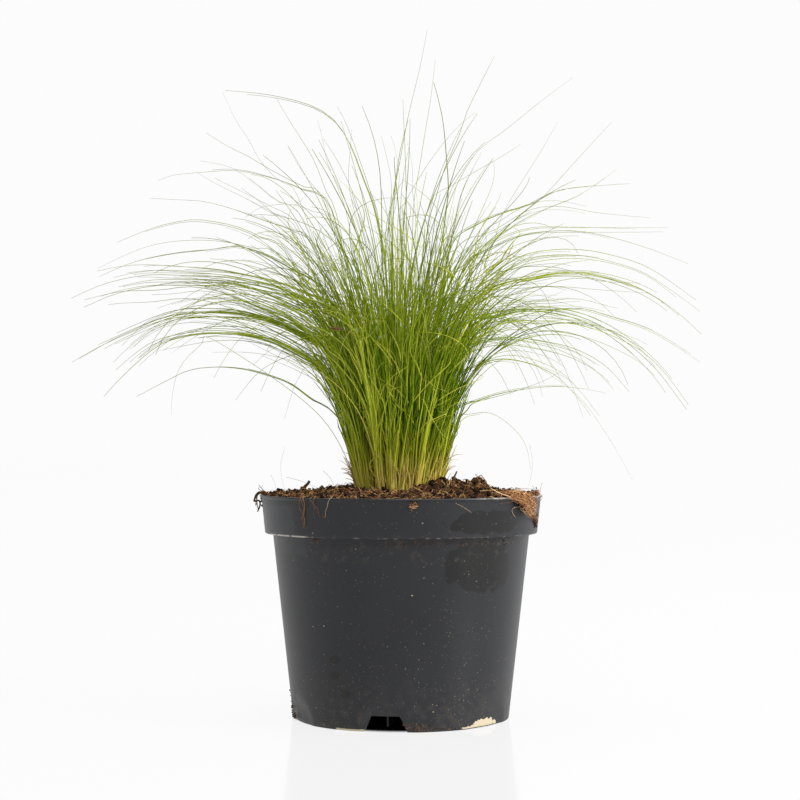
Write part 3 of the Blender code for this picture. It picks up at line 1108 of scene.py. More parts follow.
@dataclass
class Pot:
    """The moulded pot, as one turned surface with the notches in its foot and the drain holes cut out."""

    height: float = 134.5 * MM
    rim_radius: float = 85.0 * MM
    band_height: float = 23.0 * MM
    band_foot_radius: float = 82.6 * MM
    body_top_radius: float = 77.8 * MM
    foot_radius: float = 65.3 * MM
    wall: float = 1.5 * MM
    lip_height: float = 1.8 * MM
    lip_overhang: float = 1.0 * MM
    step_slope: float = 1.6 * MM
    floor_underside: float = 9.3 * MM
    floor_thickness: float = 1.6 * MM
    notch_azimuths: tuple[float, ...] = (-8.0, 112.0, 232.0)
    notch_height: float = 9.1 * MM
    notch_below: float = 25.4 * MM
    notch_above: float = 17.0 * MM
    arch_width: float = 40.0 * MM
    arch_height: float = 18.0 * MM
    arch_depth: float = 1.3 * MM
    notch_reach: float = 16.0 * MM
    rib_count: int = 6
    rib_thickness: float = 1.2 * MM
    rib_height: float = 7.4 * MM
    rib_span: Pair = (12.0 * MM, 55.0 * MM)
    hole_radius: float = 4.0 * MM
    hole_ring: float = 42.0 * MM
    hole_sides: int = 24
    # How far the holes are cut above and below the floor's middle
    hole_cut: float = 3.0 * MM
    # A rib's thickness at its foot as a share of that at the floor, and how far it goes into the floor
    rib_taper: float = 0.8
    rib_sunk: float = 0.2 * MM
    # The radius of the face that closes the floor's middle
    centre_gap: float = 3.0 * MM
    corner_points: int = 5
    row_step: float = 2.2 * MM
    # The rise from an arch's edge, of 1 at its middle, at which it is pressed in whole
    arch_edge: float = 0.85
    # How much it is out of round at the top: size as a share, waves round it and their shift in degrees
    out_of_round: tuple[Triple, ...] = ((0.0022, 2.0, -50.0), (0.0011, 3.0, 80.0))
    columns: int = 420

    def body_radius(self, height: float | Array) -> float | Array:
        """The body's outer radius at a height below the band."""
        return mix(self.foot_radius, self.body_top_radius, height / (self.height - self.band_height))

    def band_radius(self, height: float | Array) -> float | Array:
        """The band's outer radius at a height."""
        share = (height - self.height + self.band_height) / self.band_height
        return mix(self.band_foot_radius, self.rim_radius, share)

    def outer_radius(self, height: float | Array) -> Array:
        """The outside's radius at a height, on the body or the band."""
        on_band = np.asarray(height) > self.height - self.band_height
        return np.where(on_band, self.band_radius(height), self.body_radius(height))

    def _profile(self) -> list[Triple]:
        """(radius, height, rounding) of the wall's corners, from under the floor, up the outside and in.

        Returns:
            The corners, in order.
        """
        step = self.height - self.band_height
        floor_top = self.floor_underside + self.floor_thickness
        lip_base = self.height - self.lip_height
        rim = self.band_radius(self.height)
        lip = self.rim_radius + self.lip_overhang
        under = self.floor_underside
        return [
            (self.centre_gap, under, 0.0),
            (self.hole_ring, under, 0.0),
            (self.body_radius(under) - self.wall, under, 0.8 * MM),
            (self.foot_radius - self.wall, 0.0, 0.4 * MM),
            (self.foot_radius, 0.0, 0.6 * MM),
            (self.body_radius(step), step - 0.4 * self.step_slope, 0.5 * MM),
            (self.band_radius(step), step, 0.7 * MM),
            (self.band_radius(lip_base), lip_base, 0.5 * MM),
            (lip, lip_base + 0.5 * self.lip_height, 0.4 * MM),
            (lip - 0.3 * self.lip_overhang, self.height, 0.5 * MM),
            (rim - self.wall, self.height, 0.6 * MM),
            (self.band_radius(step) - self.wall, step + self.step_slope, 1.0 * MM),
            (self.body_radius(step) - self.wall, step - self.step_slope, 1.0 * MM),
            (self.body_radius(floor_top) - self.wall, floor_top, 2.0 * MM),
            (self.centre_gap, floor_top, 0.0),
        ]

    def _rows(self) -> Array:
        """The profile with rounded corners and with points no further than a set step apart.

        Returns:
            (rows, 2) radii and heights.
        """
        corners = np.array(self._profile())
        places = corners[:, :2]
        line = [places[0]]
        for before, here, after, rounding in zip(places, places[1:], places[2:], corners[1:-1, 2]):
            back, ahead = before - here, after - here
            reach = min(rounding, 0.45 * np.linalg.norm(back), 0.45 * np.linalg.norm(ahead))
            start, end = here + unit(back) * reach, here + unit(ahead) * reach
            share = even(self.corner_points if rounding else 1)[:, None]
            line += list((1 - share) ** 2 * start + 2 * share * (1 - share) * here + share**2 * end)
        line = np.array(line + [places[-1]])
        spans = np.linalg.norm(np.diff(line, axis=0), axis=1)
        counts = np.maximum(1, np.ceil(spans / self.row_step)).astype(int)
        shares = [np.arange(n) / n for n in counts]
        fine = [mix(a, b, s[:, None]) for a, b, s in zip(line, line[1:], shares)]
        return np.concatenate([*fine, line[-1:]])

    def _from_arch(self, azimuth: Array, centres: Sequence[float]) -> Array:
        """The distance along the foot to the nearest of some azimuths."""
        away = (azimuth[:, None] - np.array(centres) + 180.0) % 360.0 - 180.0
        return np.abs(away).min(axis=1) * math.radians(1.0) * self.foot_radius

    def surface(self) -> Shape:
        """The wall as a grid of profile rows and azimuth columns.

        The foot's edge rises to the notch height by a slanted step, and the rows just above it close up.
        The lower wall is pressed in by a smooth arch at and midway between the notches. The whole is a
        little out of round, more so at the top.

        Returns:
            The wall, closed.
        """
        rows = self._rows()
        azimuth = around(self.columns)
        radius = np.broadcast_to(rows[:, :1], (len(rows), self.columns)).copy()
        height = np.broadcast_to(rows[:, 1:], (len(rows), self.columns)).copy()
        slant = (self.notch_below - self.notch_above) / 2.0
        notch = self._from_arch(azimuth, self.notch_azimuths)
        lift = self.notch_height * np.clip((self.notch_below / 2.0 - notch) / slant, 0.0, 1.0)
        inside = np.arange(len(rows))[:, None] <= np.argmin(rows[:, 1])
        top = np.where(inside, self.floor_underside, self.notch_reach)
        height = np.where(height < top, lift + height * (top - lift) / top, height)
        midway = 180.0 / len(self.notch_azimuths)
        arches = [a + side for a in self.notch_azimuths for side in (0.0, midway)]
        away = self._from_arch(azimuth, arches) / (self.arch_width / 2.0)
        rise = 1.0 - away**2 - (height / self.arch_height) ** 2
        skin = radius > self.foot_radius - 2.0 * self.wall
        radius -= self.arch_depth * smooth_step(0.0, self.arch_edge, rise) * skin
        bent = 0.0
        for size, waves, shift in self.out_of_round:
            bent = bent + size * np.cos(np.radians(waves * azimuth + shift))
        radius *= 1.0 + height / self.height * bent
        return turned_surface(on_axis(radius, azimuth, height))

    def _ribs(self) -> Shape:
        """The ribs under the floor: upright plates that taper a little downwards.

        Returns:
            The ribs as one shape.
        """
        inner, outer = self.rib_span
        square = np.array([(-1, -1), (1, -1), (1, 1), (-1, 1)]) / 2.0
        levels = np.array([-self.rib_height, self.rib_sunk])
        thick = self.rib_thickness * np.array([self.rib_taper, 1.0])
        shapes = []
        for index in range(self.rib_count):
            turn = math.radians(self.notch_azimuths[0] + index * 360.0 / self.rib_count)
            out = np.array([math.sin(turn), -math.cos(turn)])
            side = np.array([math.cos(turn), math.sin(turn)])
            reach = (inner + outer) / 2.0 - square[:, 1] * (outer - inner)
            flat = reach[None, :, None] * out + (thick[:, None] * square[:, 0])[:, :, None] * side
            level = np.broadcast_to((self.floor_underside + levels)[:, None, None], (2, 4, 1))
            shapes.append(turned_surface(np.concatenate([flat, level], axis=-1)))
        return Shape.joined(shapes)

    def _cut_holes(self, pot: bpy.types.Object) -> None:
        """Cuts the drain holes out of the floor, midway between the ribs.

        Args:
            pot: the pot's object, whose mesh is replaced by the one with holes.
        """
        turn = around(self.hole_sides)
        middle = self.floor_underside + self.floor_thickness / 2.0
        levels = np.array([-1.0, 1.0])[:, None] * self.hole_cut + middle
        midway = self.notch_azimuths[0] + 180.0 / self.rib_count
        centres = on_axis(self.hole_ring, midway + around(self.rib_count), 0.0)
        shapes = [turned_surface(centre + on_axis(self.hole_radius, turn, levels)) for centre in centres]
        cutter = Shape.joined(shapes).piece("hole_cutter", pot.data.materials[0], Slot.POT)
        cut = pot.modifiers.new("drain holes", "BOOLEAN")
        cut.object = cutter
        bpy.context.view_layer.update()
        whole = bpy.data.meshes.new_from_object(pot.evaluated_get(bpy.context.evaluated_depsgraph_get()))
        pot.modifiers.clear()
        pot.data = whole
        bpy.data.objects.remove(cutter)
        whole.set_sharp_from_angle(angle=math.radians(40.0))

    def build(self) -> None:
        """Makes the pot's piece and its ribs."""
        plastic = PotPlastic().material()
        pot = self.surface().piece("pot_moulding", plastic, Slot.POT, ["pot"])
        self._cut_holes(pot)
        ribs = self._ribs().piece("pot_ribs", plastic, Slot.POT)
        ribs.data.shade_flat()


# The soil and what lies on it


@dataclass(frozen=True)
class Lump:
    """A lump on the soil: where it lies, in degrees and mm, and its height and spread in mm."""

    azimuth: float
    distance: float
    rise: float
    spread: float


@dataclass
class SoilBed:
    """The potting soil: a fine lumpy surface with crumbs, bark chips, fibres and twigs on it."""

    pot: Pot
    crown_rise: float = 4.5 * MM
    crown_radius: float = 32.0 * MM
    edge_rise: float = -1.2 * MM
    inset: float = 0.36 * MM
    rows: int = 150
    columns: int = 420
    # The radius of the face that closes the soil's middle
    centre_gap: float = 1.5 * MM
    # Clods as folded noise: height in mm, the fold that lies at the broad height, and size in mm
    clods: tuple[Triple, ...] = ((2.2, 0.45, 8.0), (1.8, 0.4, 3.6))
    grain: float = 1.0 * MM
    grain_size: float = 1.7 * MM
    crumb_count: int = 3600
    # A crumb's least half length, and the most that comes on top. Past the chips' size they are darker
    crumb_sizes: Pair = (0.35 * MM, 2.2 * MM)
    chip_size: float = 1.3 * MM
    chip_tint: float = 0.45
    # Crumbs' least and most width and thickness, as shares of their length
    crumb_forms: tuple[Pair, Pair] = ((0.45, 1.0), (0.3, 0.8))
    fibre_count: int = 1900
    fibre_lengths: Pair = (4 * MM, 15 * MM)
    fibre_radii: Pair = (0.08 * MM, 0.26 * MM)
    fibre_lift: float = 2.6 * MM
    # How far fibres usually turn and weave, and the least and most of the weave's sine wave, in radians
    fibre_turn: float = 1.6
    fibre_weave: float = 0.8
    fibre_waves: Pair = (4.0, 11.0)
    lumps: tuple[Lump, ...] = (
        Lump(94, 47.5, 6.6, 5.5),
        Lump(86, 33, 2.8, 9.0),
        Lump(45, 33, 3.4, 10.0),
        Lump(14, 31, 1.6, 8.0),
        Lump(-14, 28, -8.0, 15.0),
        Lump(66, 52, 2.2, 8.0),
        Lump(28, 50, 1.6, 9.0),
        Lump(-52, 27, -1.2, 10.0),
        Lump(-88, 42, -2.8, 15.0),
        Lump(-55, 50, -1.4, 12.0),
        Lump(-100, 60, -1.0, 11.0),
        Lump(150, 50, 2.6, 11.0),
        Lump(205, 56, 2.2, 10.0),
        Lump(240, 52, -1.8, 14.0),
    )
    # Twigs, roots and straw that stand out of the soil
    standing: tuple[Thread, ...] = (
        Thread(((31, -6, 139), (32, -6, 144.5), (33.6, -5, 148.8)), 0.75, 0.2),
        Thread(((27.6, -8, 141), (28.2, -7, 144), (30, -7, 147.4)), 0.16, 0.2),
        Thread(((27, -8, 141), (26.6, -8, 146)), 0.14, 0.2),
        Thread(((-61, 0, 133), (-60.4, 0, 137), (-58.8, 0, 138.8), (-57, 0, 140.4), (-55.6, 0, 142.4)),
               1.3, 0.15),
        Thread(((-61, -2, 138.2), (-58, -2, 137.6), (-54, -2, 134.4)), 1.0, 0.25),
        Thread(((-37.5, 0, 136.5), (-36.6, 0, 140.3)), 1.0, 0.15),
        Thread(((-40, -38, 136), (-37, -40, 138.5), (-33, -41, 138.8), (-29, -42, 137.5)), 0.4, 0.4),
        Thread(((12, -60, 134.8), (18, -59, 136.4), (26, -57, 136.4)), 0.45, 0.75),
        Thread(((44, -38, 137), (57, -34, 138.6)), 0.4, 0.8),
        Thread(((-62, -30, 135), (-56, -34, 137.6), (-50, -38, 136.2)), 0.45, 0.45),
        Thread(((-21, -52, 138), (-16, -60, 137), (-12, -66, 134.8)), 0.4, 0.8),
        Thread(((8, -46, 140), (12, -56, 137.5), (15, -64, 135.2)), 0.45, 0.8),
        Thread(((24, -30, 143.5), (27, -36, 140.5), (30, -42, 138)), 0.35, 0.85),
        Thread(((-69.5, -5, 145.1), (-60, -5, 142.5), (-53, -5, 139.6), (-47.1, -5, 137.2)), 0.08, 0.3),
        Thread(((-47.1, -5, 148.7), (-43, -5, 144.8), (-40.4, -5, 139.6)), 0.09, 0.3),
        Thread(((-78.9, -5, 146.3), (-76.4, -5, 141.5), (-75.2, -5, 135.2)), 0.06, 0.3),
        Thread(((-71, 5, 163), (-73.5, 5, 152), (-72, 5, 140), (-70, 5, 136)), 0.05, 0.3),
        Thread(((84, -8, 134), (84.4, -8, 138.6), (85.4, -8, 142)), 0.1, 0.2),
        Thread(((80, -8, 135), (80.5, -8, 138.2), (79.3, -8, 140.2)), 0.12, 0.2),
        Thread(((78.6, 4, 165), (80.2, 4, 155), (79.6, 4, 146), (76.5, 4, 136)), 0.05, 0.3),
    )

    def edge_radius(self) -> float:
        """How far the soil reaches at its top."""
        return self.pot.band_radius(self.pot.height + self.edge_rise) - self.pot.wall - self.inset

    def level(self, x: Array, y: Array) -> Array:
        """The soil's broad height: the crown, the fall to the lip and the lumps.

        Args:
            x: places across.
            y: places front to back.

        Returns:
            The height at each place.
        """
        radius = np.hypot(x, y)
        edge = self.edge_radius()
        fall = smooth_step(self.crown_radius, edge, radius)
        clear = smooth_step(10 * MM, 24 * MM, radius) * (1.0 - smooth_step(edge - 8 * MM, edge, radius))
        height = self.pot.height + mix(self.crown_rise, self.edge_rise, fall)
        for lump in self.lumps:
            spot = on_axis(lump.distance * MM, lump.azimuth, 0.0)
            away = np.hypot(x - spot[0], y - spot[1]) / (lump.spread * MM)
            height = height + lump.rise * MM * np.exp(-(away**2)) * clear
        return height

    def height(self, x: Array, y: Array) -> Array:
        """The soil's height with its clods and grain on top of the broad height.

        Args:
            x: places across.
            y: places front to back.

        Returns:
            The height at each place.
        """
        spots = np.stack(np.broadcast_arrays(x, y, 0.0), axis=-1)
        uneven = 0.0
        for seed, (height, standing, size) in enumerate(self.clods, start=1):
            uneven = uneven + height * MM * (standing - np.abs(noise(spots, size * MM, seed)))
        uneven = uneven + self.grain * noise(spots, self.grain_size, len(self.clods) + 1)
        return self.level(x, y) + uneven

    def surface(self) -> Shape:
        """The soil's top as rings round the axis, closed below by a plain wall and bottom.

        Returns:
            The soil, closed.
        """
        turn = around(self.columns)
        radius = np.linspace(self.centre_gap, self.edge_radius(), self.rows)[::-1, None]
        flat = on_axis(radius, turn, 0.0)
        top = on_axis(radius, turn, self.height(flat[..., 0], flat[..., 1]))
        floor = self.pot.floor_underside + self.pot.floor_thickness + 0.3 * MM
        step = self.pot.height - self.pot.band_height
        wall = [
            (self.pot.body_radius(floor) - 2.0 * self.pot.arch_depth - self.pot.wall, floor),
            (self.pot.body_radius(step) - self.pot.wall - self.inset, step - 1.5 * MM),
            (self.pot.band_radius(step) - self.pot.wall - self.inset, step + 2.0 * MM),
        ]
        sides = np.stack([on_axis(r, turn, z) for r, z in [(self.centre_gap, floor), *wall]])
        return turned_surface(np.concatenate([sides, top]))

    def _scatter(
        self, count: int, rng: np.random.Generator, inner: float, past: float
    ) -> tuple[Array, Array]:
        """Random spots on the soil.

        Args:
            count: how many spots.
            rng: where they come from.
            inner: their least radius.
            past: how far past the soil's edge they reach.

        Returns:
            Their x and y.
        """
        radius = np.sqrt(rng.uniform(inner**2, (self.edge_radius() + past) ** 2, count))
        x, y, _ = on_axis(radius, rng.uniform(-180.0, 180.0, count), 0.0).T
        return x, y

    def crumbs(self) -> Shape:
        """Loose crumbs and bark chips, most small, thrown over the soil, some of them big and dark.

        Returns:
            The crumbs as one shape.
        """
        rng, count = Seed.SOIL_CRUMBS.draws(), self.crumb_count
        x, y = self._scatter(count, rng, 8 * MM, 0.6 * MM)
        least, more = self.crumb_sizes
        size = least + more * rng.random(count) ** 4
        form = forms(count, rng, *self.crumb_forms)
        centres = np.stack([x, y, self.height(x, y) + 0.3 * size], axis=-1)
        tint = rng.random(count) ** 1.5 * np.where(size > self.chip_size, self.chip_tint, 1.0)
        return crumbs(centres, size[:, None] * form, rng, tint=tint)

    def fibres(self) -> Shape:
        """Short curly fibres that lie on the soil.

        Each goes its own way in a flat curve that turns evenly and weaves by a sine wave, and stands above
        the soil by half a sine wave.

        Returns:
            The fibres as one shape.
        """
        rng = Seed.SOIL_FIBRES.draws()
        column, stations = (self.fibre_count, 1), 12
        x, y = self._scatter(self.fibre_count, rng, 18 * MM, 0.5 * MM)
        share = even(stations)
        step = rng.uniform(*self.fibre_lengths, column) / (stations - 1)
        turn = rng.uniform(0.0, math.tau, column) + rng.normal(0.0, self.fibre_turn, column) * share
        weave = rng.normal(0.0, self.fibre_weave, column)
        turn = turn + weave * np.sin(rng.uniform(*self.fibre_waves, column) * share)
        x = x[:, None] + np.cumsum(np.cos(turn) * step, axis=1)
        y = y[:, None] + np.cumsum(np.sin(turn) * step, axis=1)
        inward = np.minimum(1.0, (self.edge_radius() + 0.8 * MM) / np.hypot(x, y))
        x, y = x * inward, y * inward
        lift = rng.random(column) ** 2 * self.fibre_lift
        arch = lift * np.sin(math.pi * share * rng.uniform(0.5, 1.0, column))
        paths = np.stack([x, y, self.height(x, y) + arch + 0.1 * MM], axis=-1)
        radius = rng.uniform(*self.fibre_radii, column) * (1.0 - 0.6 * share**2)
        return tubes(paths, radius, 3, tint=rng.random(column))

    def twigs(self) -> Shape:
        """The twigs and roots that stand out of the soil, each a smooth line with small kinks of noise.

        Returns:
            The twigs as one shape.
        """
        lines = [smooth_line(np.array(thread.places) * MM, 14) for thread in self.standing]
        kinks = np.array([min(thread.radius, 0.45) for thread in self.standing])[:, None, None] * MM
        return gnarled(self.standing, lines, kinks, 2.5 * MM, 0.6, 6)

    def build(self) -> None:
        """Makes the soil, its crumbs, fibres and twigs."""
        self.surface().piece("soil_bed", PeatSoil().material(), Slot.SOIL, ["soil"])
        bits = PeatSoil("peat_crumbs", by_piece=True).material()
        self.crumbs().piece("soil_crumbs", bits, Slot.SOIL)
        fibre = Fibre("soil_fibres", srgb(54, 34, 18), srgb(122, 84, 46), srgb(198, 158, 106)).material()
        self.fibres().piece("soil_fibres", fibre, Slot.SOIL)
        self.twigs().piece("soil_twigs", fibre, Slot.SOIL)


@dataclass
class CoirWad:
    """The wad of coconut fibre over the lip: a thin felted core under a tangle of curling fibres."""

    pot: Pot
    first_azimuth: float = 46.5
    last_azimuth: float = 64.0
    reach_in: float = 12.0 * MM
    inner_rise: float = 1.9 * MM
    clearance: float = 0.6 * MM
    least_hang: float = 4.0 * MM
    most_hang: float = 10.5 * MM
    # Where across the wad it hangs least and most, and where down it what stands off turns outwards
    hang_from: Pair = (0.1, 0.8)
    outwards_from: Pair = (0.25, 0.75)
    # How round the line's corners are, from 0 to 1, and how far down it is read
    roundness: float = 0.3
    last: float = 0.9999
    core_grid: tuple[int, int] = (30, 36)
    # The core: its ends down the wad, its middle across it and what is added below, what it narrows by, and
    # its usual tint and play
    core_ends: Pair = (0.06, 0.9)
    core_middle: Pair = (0.42, 0.28)
    core_narrowing: float = 0.55
    core_tint: Pair = (0.25, 0.2)
    # The core's half width as a share of the wad's, its middle off the line and its half thickness
    core_width: float = 0.36
    core_thickness: Pair = (0.8 * MM, 0.6 * MM)
    core_lumps: float = 0.5 * MM
    fibre_count: int = 300
    # Least and most, in mm: the fibres' radii and how far off the line they lie
    fibre_radii: Pair = (0.07, 0.17)
    stand_off: Pair = (0.2, 1.7)
    # In shares of the wad, least and most: where fibres start and how far they go down it, and where across
    fibre_starts: Pair = (0.0, 0.72)
    fibre_reaches: Pair = (0.12, 0.5)
    fibre_across: Pair = (0.02, 0.9)
    # How far fibres usually sway and drift across it, and the least and most of the sway's wave in radians
    fibre_sway: float = 0.12
    fibre_drift: float = 0.2
    fibre_waves: Pair = (3.0, 10.0)
    most_loose: float = 3.0 * MM
    # Where across the wad the fibres' ends gather, and how much they do
    gather: Pair = (0.86, 0.62)

    def over_lip(self, across: Array, down: Array, off: Array) -> Array:
        """Points on the wad.

        The wad's line over the lip has six corners, from the soil outwards and down, and a point is read
        off it by its share of the way. It then stands off by a distance away from the pot.

        Args:
            across: share of the wad's width.
            down: share of the way over the lip.
            off: distance off the line.

        Returns:
            The points.
        """
        pot = self.pot
        hang = mix(self.least_hang, self.most_hang, smooth_step(*self.hang_from, across))
        lip = pot.rim_radius + pot.lip_overhang
        outside = lip + self.clearance
        radii = [
            pot.rim_radius - self.reach_in,
            pot.rim_radius - 0.4 * self.reach_in,
            lip - 0.8 * pot.lip_overhang,
            outside + 0.4 * pot.lip_overhang,
            outside,
            outside - 0.3 * pot.lip_overhang,
        ]
        heights = [
            pot.height + self.inner_rise,
            pot.height + mix(self.clearance, self.inner_rise, 0.3),
            pot.height + self.clearance,
            pot.height - 0.65 * pot.lip_height,
            pot.height - pot.lip_height - 0.45 * hang,
            pot.height - pot.lip_height - hang,
        ]
        way = np.clip(down, 0.0, self.last) * (len(radii) - 1)
        leg = way.astype(int)
        share = smooth_step(0.0, 1.0, way - leg) * self.roundness + (way - leg) * (1.0 - self.roundness)
        radius = mix(np.choose(leg, radii), np.choose(leg + 1, radii), share)
        height = mix(np.choose(leg, heights), np.choose(leg + 1, heights), share)
        outwards = smooth_step(*self.outwards_from, down)
        azimuth = mix(self.first_azimuth, self.last_azimuth, across)
        return on_axis(radius + off * outwards, azimuth, height + off * (1.0 - outwards))

    def core(self) -> Shape:
        """The felted core: a flattened tube across the wad, with lumps from noise.

        Returns:
            The core, closed.
        """
        rows, columns = self.core_grid
        down = np.linspace(*self.core_ends, rows)[:, None]
        turn = np.arange(columns)[None] * math.tau / columns
        wide = self.core_width * np.sin(math.pi * np.clip(down * 0.9 + 0.08, 0.0, 1.0)) ** 0.5
        across, added = self.core_middle
        across = across + added * smooth_step(0.4, 0.9, down)
        across = across + wide * (1.0 - self.core_narrowing * down) * np.cos(turn)
        middle, half = self.core_thickness
        off = middle + half * np.sin(turn) * np.ones_like(down)
        points = self.over_lip(across, np.broadcast_to(down, across.shape), off)
        shape = turned_surface(points + self.core_lumps * wobble(points, 3 * MM, 4.0))
        usual, play = self.core_tint
        tint = usual + play * noise(shape.points, 2 * MM, 7.0)
        return Shape(shape.points, shape.faces, [], {"tint": tint})

    def fibres(self) -> Shape:
        """The fibres: each runs over the lip along the wad, curling to its sides and off it.

        Returns:
            The fibres as one shape.
        """
        rng, column, share = Seed.COIR_FIBRES.draws(), (self.fibre_count, 1), even(18)
        start = rng.uniform(*self.fibre_starts, column)
        down = start + share * rng.uniform(*self.fibre_reaches, column)
        sway = rng.normal(0.0, self.fibre_sway, column)
        sway = sway * np.sin(rng.uniform(*self.fibre_waves, column) * share + start * 9.0)
        across = rng.uniform(*self.fibre_across, column)
        across = across + rng.normal(0.0, self.fibre_drift, column) * share
        place, much = self.gather
        across = mix(across, place, much * smooth_step(0.45, 1.0, down)) + sway
        loose = rng.random(column) ** 3
        arch = np.sin(math.pi * share * rng.uniform(0.6, 1.1, column))
        off = rng.uniform(*self.stand_off, column) * MM + loose * self.most_loose * arch
        paths = self.over_lip(across, down, off)
        radius = rng.uniform(*self.fibre_radii, column) * MM * (1.0 - 0.4 * share)
        return tubes(paths, radius, 3, tint=rng.random(column))

    def build(self) -> None:
        """Makes the wad's core and fibres."""
        coir = Fibre("coir_fibre", srgb(84, 52, 30), srgb(158, 108, 68), srgb(212, 168, 118)).material()
        self.core().piece("coir_core", coir, Slot.COIR)
        self.fibres().piece("coir_fibres", coir, Slot.COIR, ["coir_wad"])


# The grass


@dataclass(frozen=True)
class TuftRing:
    """A ring of tufts, as the CAD has them, and how its blades stray from them.

    Leans are from upright in degrees and lengths in mm, and a pair is least and most. blades is the number
    of blades a tuft has, and fan how far in degrees they spread round the axis.
    """

    name: str
    count: int
    first_azimuth: float
    foot_lean: float
    tip_leans: Pair
    lengths: tuple[float, ...]
    blades: int
    fan: float

    def nodes(self) -> list[str]:
        """The CAD nodes of the ring's tufts.

        Returns:
            Their names, in the order of their azimuths.
        """
        if self.count == 1:
            return [f"tuft_{self.name}"]
        return [f"tuft_{self.name}_{index + 1:02d}" for index in range(self.count)]


# A blade's thickness at its tip, and what a sheath adds to it near the foot, as shares of its own
TIP_THICKNESS = 0.26
SHEATH_SWELL = 0.45


def drawn_out(share: Array, power: float) -> Array:
    """A blade's thickness along it: 1 at its foot, and drawn out by that power to a fine tip."""
    return TIP_THICKNESS + (1.0 - TIP_THICKNESS) * (1.0 - share**power)


@dataclass
class Blades:
    """The numbers of many blades, one row of each array for a blade. Angles are degrees.

    reach is a blade's length as a share of what a blade of its tuft could grow to, sway how far its tip
    waves sideways, in metres, and waves and phase how often and from where.
    """

    foot: Array
    azimuth: Array
    drift: Array
    foot_lean: Array
    tip_lean: Array
    bend: Array
    length: Array
    reach: Array
    sway: Array
    waves: Array
    phase: Array
    radius: Array
    tint: Array
    dry: Array

    def paths(self, stations: int) -> Array:
        """Each blade's middle line.

        Its lean from upright goes from the foot's to the tip's by a power of how far a fully grown blade
        would have come, and its azimuth drifts by the square of the share of its length. Its points are the
        sum of short steps that way, moved sideways by a sine wave that grows along it.

        Args:
            stations: points along each blade.

        Returns:
            (blades, stations, 3) points.
        """
        share = even(stations)
        grown = share * self.reach[:, None]
        lean = np.radians(mix(self.foot_lean[:, None], self.tip_lean[:, None], grown ** self.bend[:, None]))
        turn = np.radians(self.azimuth[:, None] + self.drift[:, None] * share**2)
        way = np.stack([np.sin(lean) * np.sin(turn), -np.sin(lean) * np.cos(turn), np.cos(lean)], axis=-1)
        steps = (way[:, 1:] + way[:, :-1]) / 2.0 * (self.length / (stations - 1))[:, None, None]
        moved = np.concatenate([np.zeros((len(lean), 1, 3)), np.cumsum(steps, axis=1)], axis=1)
        wave = np.sin(math.tau * self.waves[:, None] * share + self.phase[:, None]) * share**1.5
        aside = np.stack([np.cos(turn), np.sin(turn), np.zeros_like(turn)], axis=-1)
        return self.foot[:, None] + moved + aside * (self.sway[:, None] * wave)[:, :, None]

    def shape(self, stations: int, sides: int = 3) -> Shape:
        """The blades as tubes, thicker in the sheath's first centimetres and drawn out to a fine tip.

        Args:
            stations: points along each blade.
            sides: points round it.

        Returns:
            The blades as one shape.
        """
        share = even(stations)
        run = share * self.length[:, None]
        sheath = 1.0 + SHEATH_SWELL * smooth_step(40 * MM, 8 * MM, run)
        radii = self.radius[:, None] * sheath * drawn_out(share, 2.2)
        given = {"tint": self.tint[:, None], "dry": self.dry[:, None], "grown": share * self.reach[:, None]}
        return tubes(self.paths(stations), radii, sides, **given)

    def lead(self, row: int, tuft: Array, **numbers: float) -> None:
        """Lays one blade along the whole of a tuft.

        Args:
            row: which blade.
            tuft: the tuft's distance from the axis, azimuth, tip lean and length.
            **numbers: the blade's other numbers.
        """
        radius, azimuth, tip_lean, length = tuft[:4]
        self.foot[row, :2] = on_axis(radius, azimuth, 0.0)[:2]
        own = {"azimuth": azimuth, "drift": 0.0, "tip_lean": tip_lean, "length": length, "reach": 1.0}
        for key, number in (own | numbers).items():
            getattr(self, key)[row] = number

    def picked(self, rows: Array) -> "Blades":
        """Some of the blades."""
        return Blades(**{key: numbers[rows] for key, numbers in vars(self).items()})


@dataclass(frozen=True)
class Strand:
    """Blades that stand out against the background: a single one, or a lock of several on one course.

    Attributes:
        points: x and z in mm, as the camera sees them on the plane through the pot's axis, from inside the
            clump to the tip.
        radius: their radius in mm.
        count: how many blades.
        spread: how far apart in mm their tips are.
        lift: how far in mm they stand before that plane, which makes them pale and a little dry, or None
            for a depth by the strand's number.
    """

    points: tuple[Pair, ...]
    radius: float
    count: int = 1
    spread: float = 0.0
    lift: float | None = None


@dataclass(frozen=True)
class Loose:
    """How blades outside the tufts lie. Pairs are least and most.

    Leans are in degrees, and lengths and radii in mm. drift is by how many degrees their azimuth usually
    drifts, and reach their share of full growth.
    """

    count: int
    drift: float
    foot_leans: Pair
    tip_leans: Pair
    bends: Pair
    lengths: Pair
    radii: Pair
    dry: Pair
    tint: float
    reach: float


@dataclass(frozen=True)
class SheathLean:
    """How far sheaths lean outwards, in degrees: usually at their ring, their usual play and at most."""

    usual: float
    play: float
    most: float

    def of(self, share: Array, bunch: Array, rng: np.random.Generator) -> Array:
        """Each sheath's lean, from how far out in the ring it stands and from what its bunch adds."""
        return np.minimum(self.most, share * self.usual + bunch + rng.normal(0.0, self.play, len(share)))


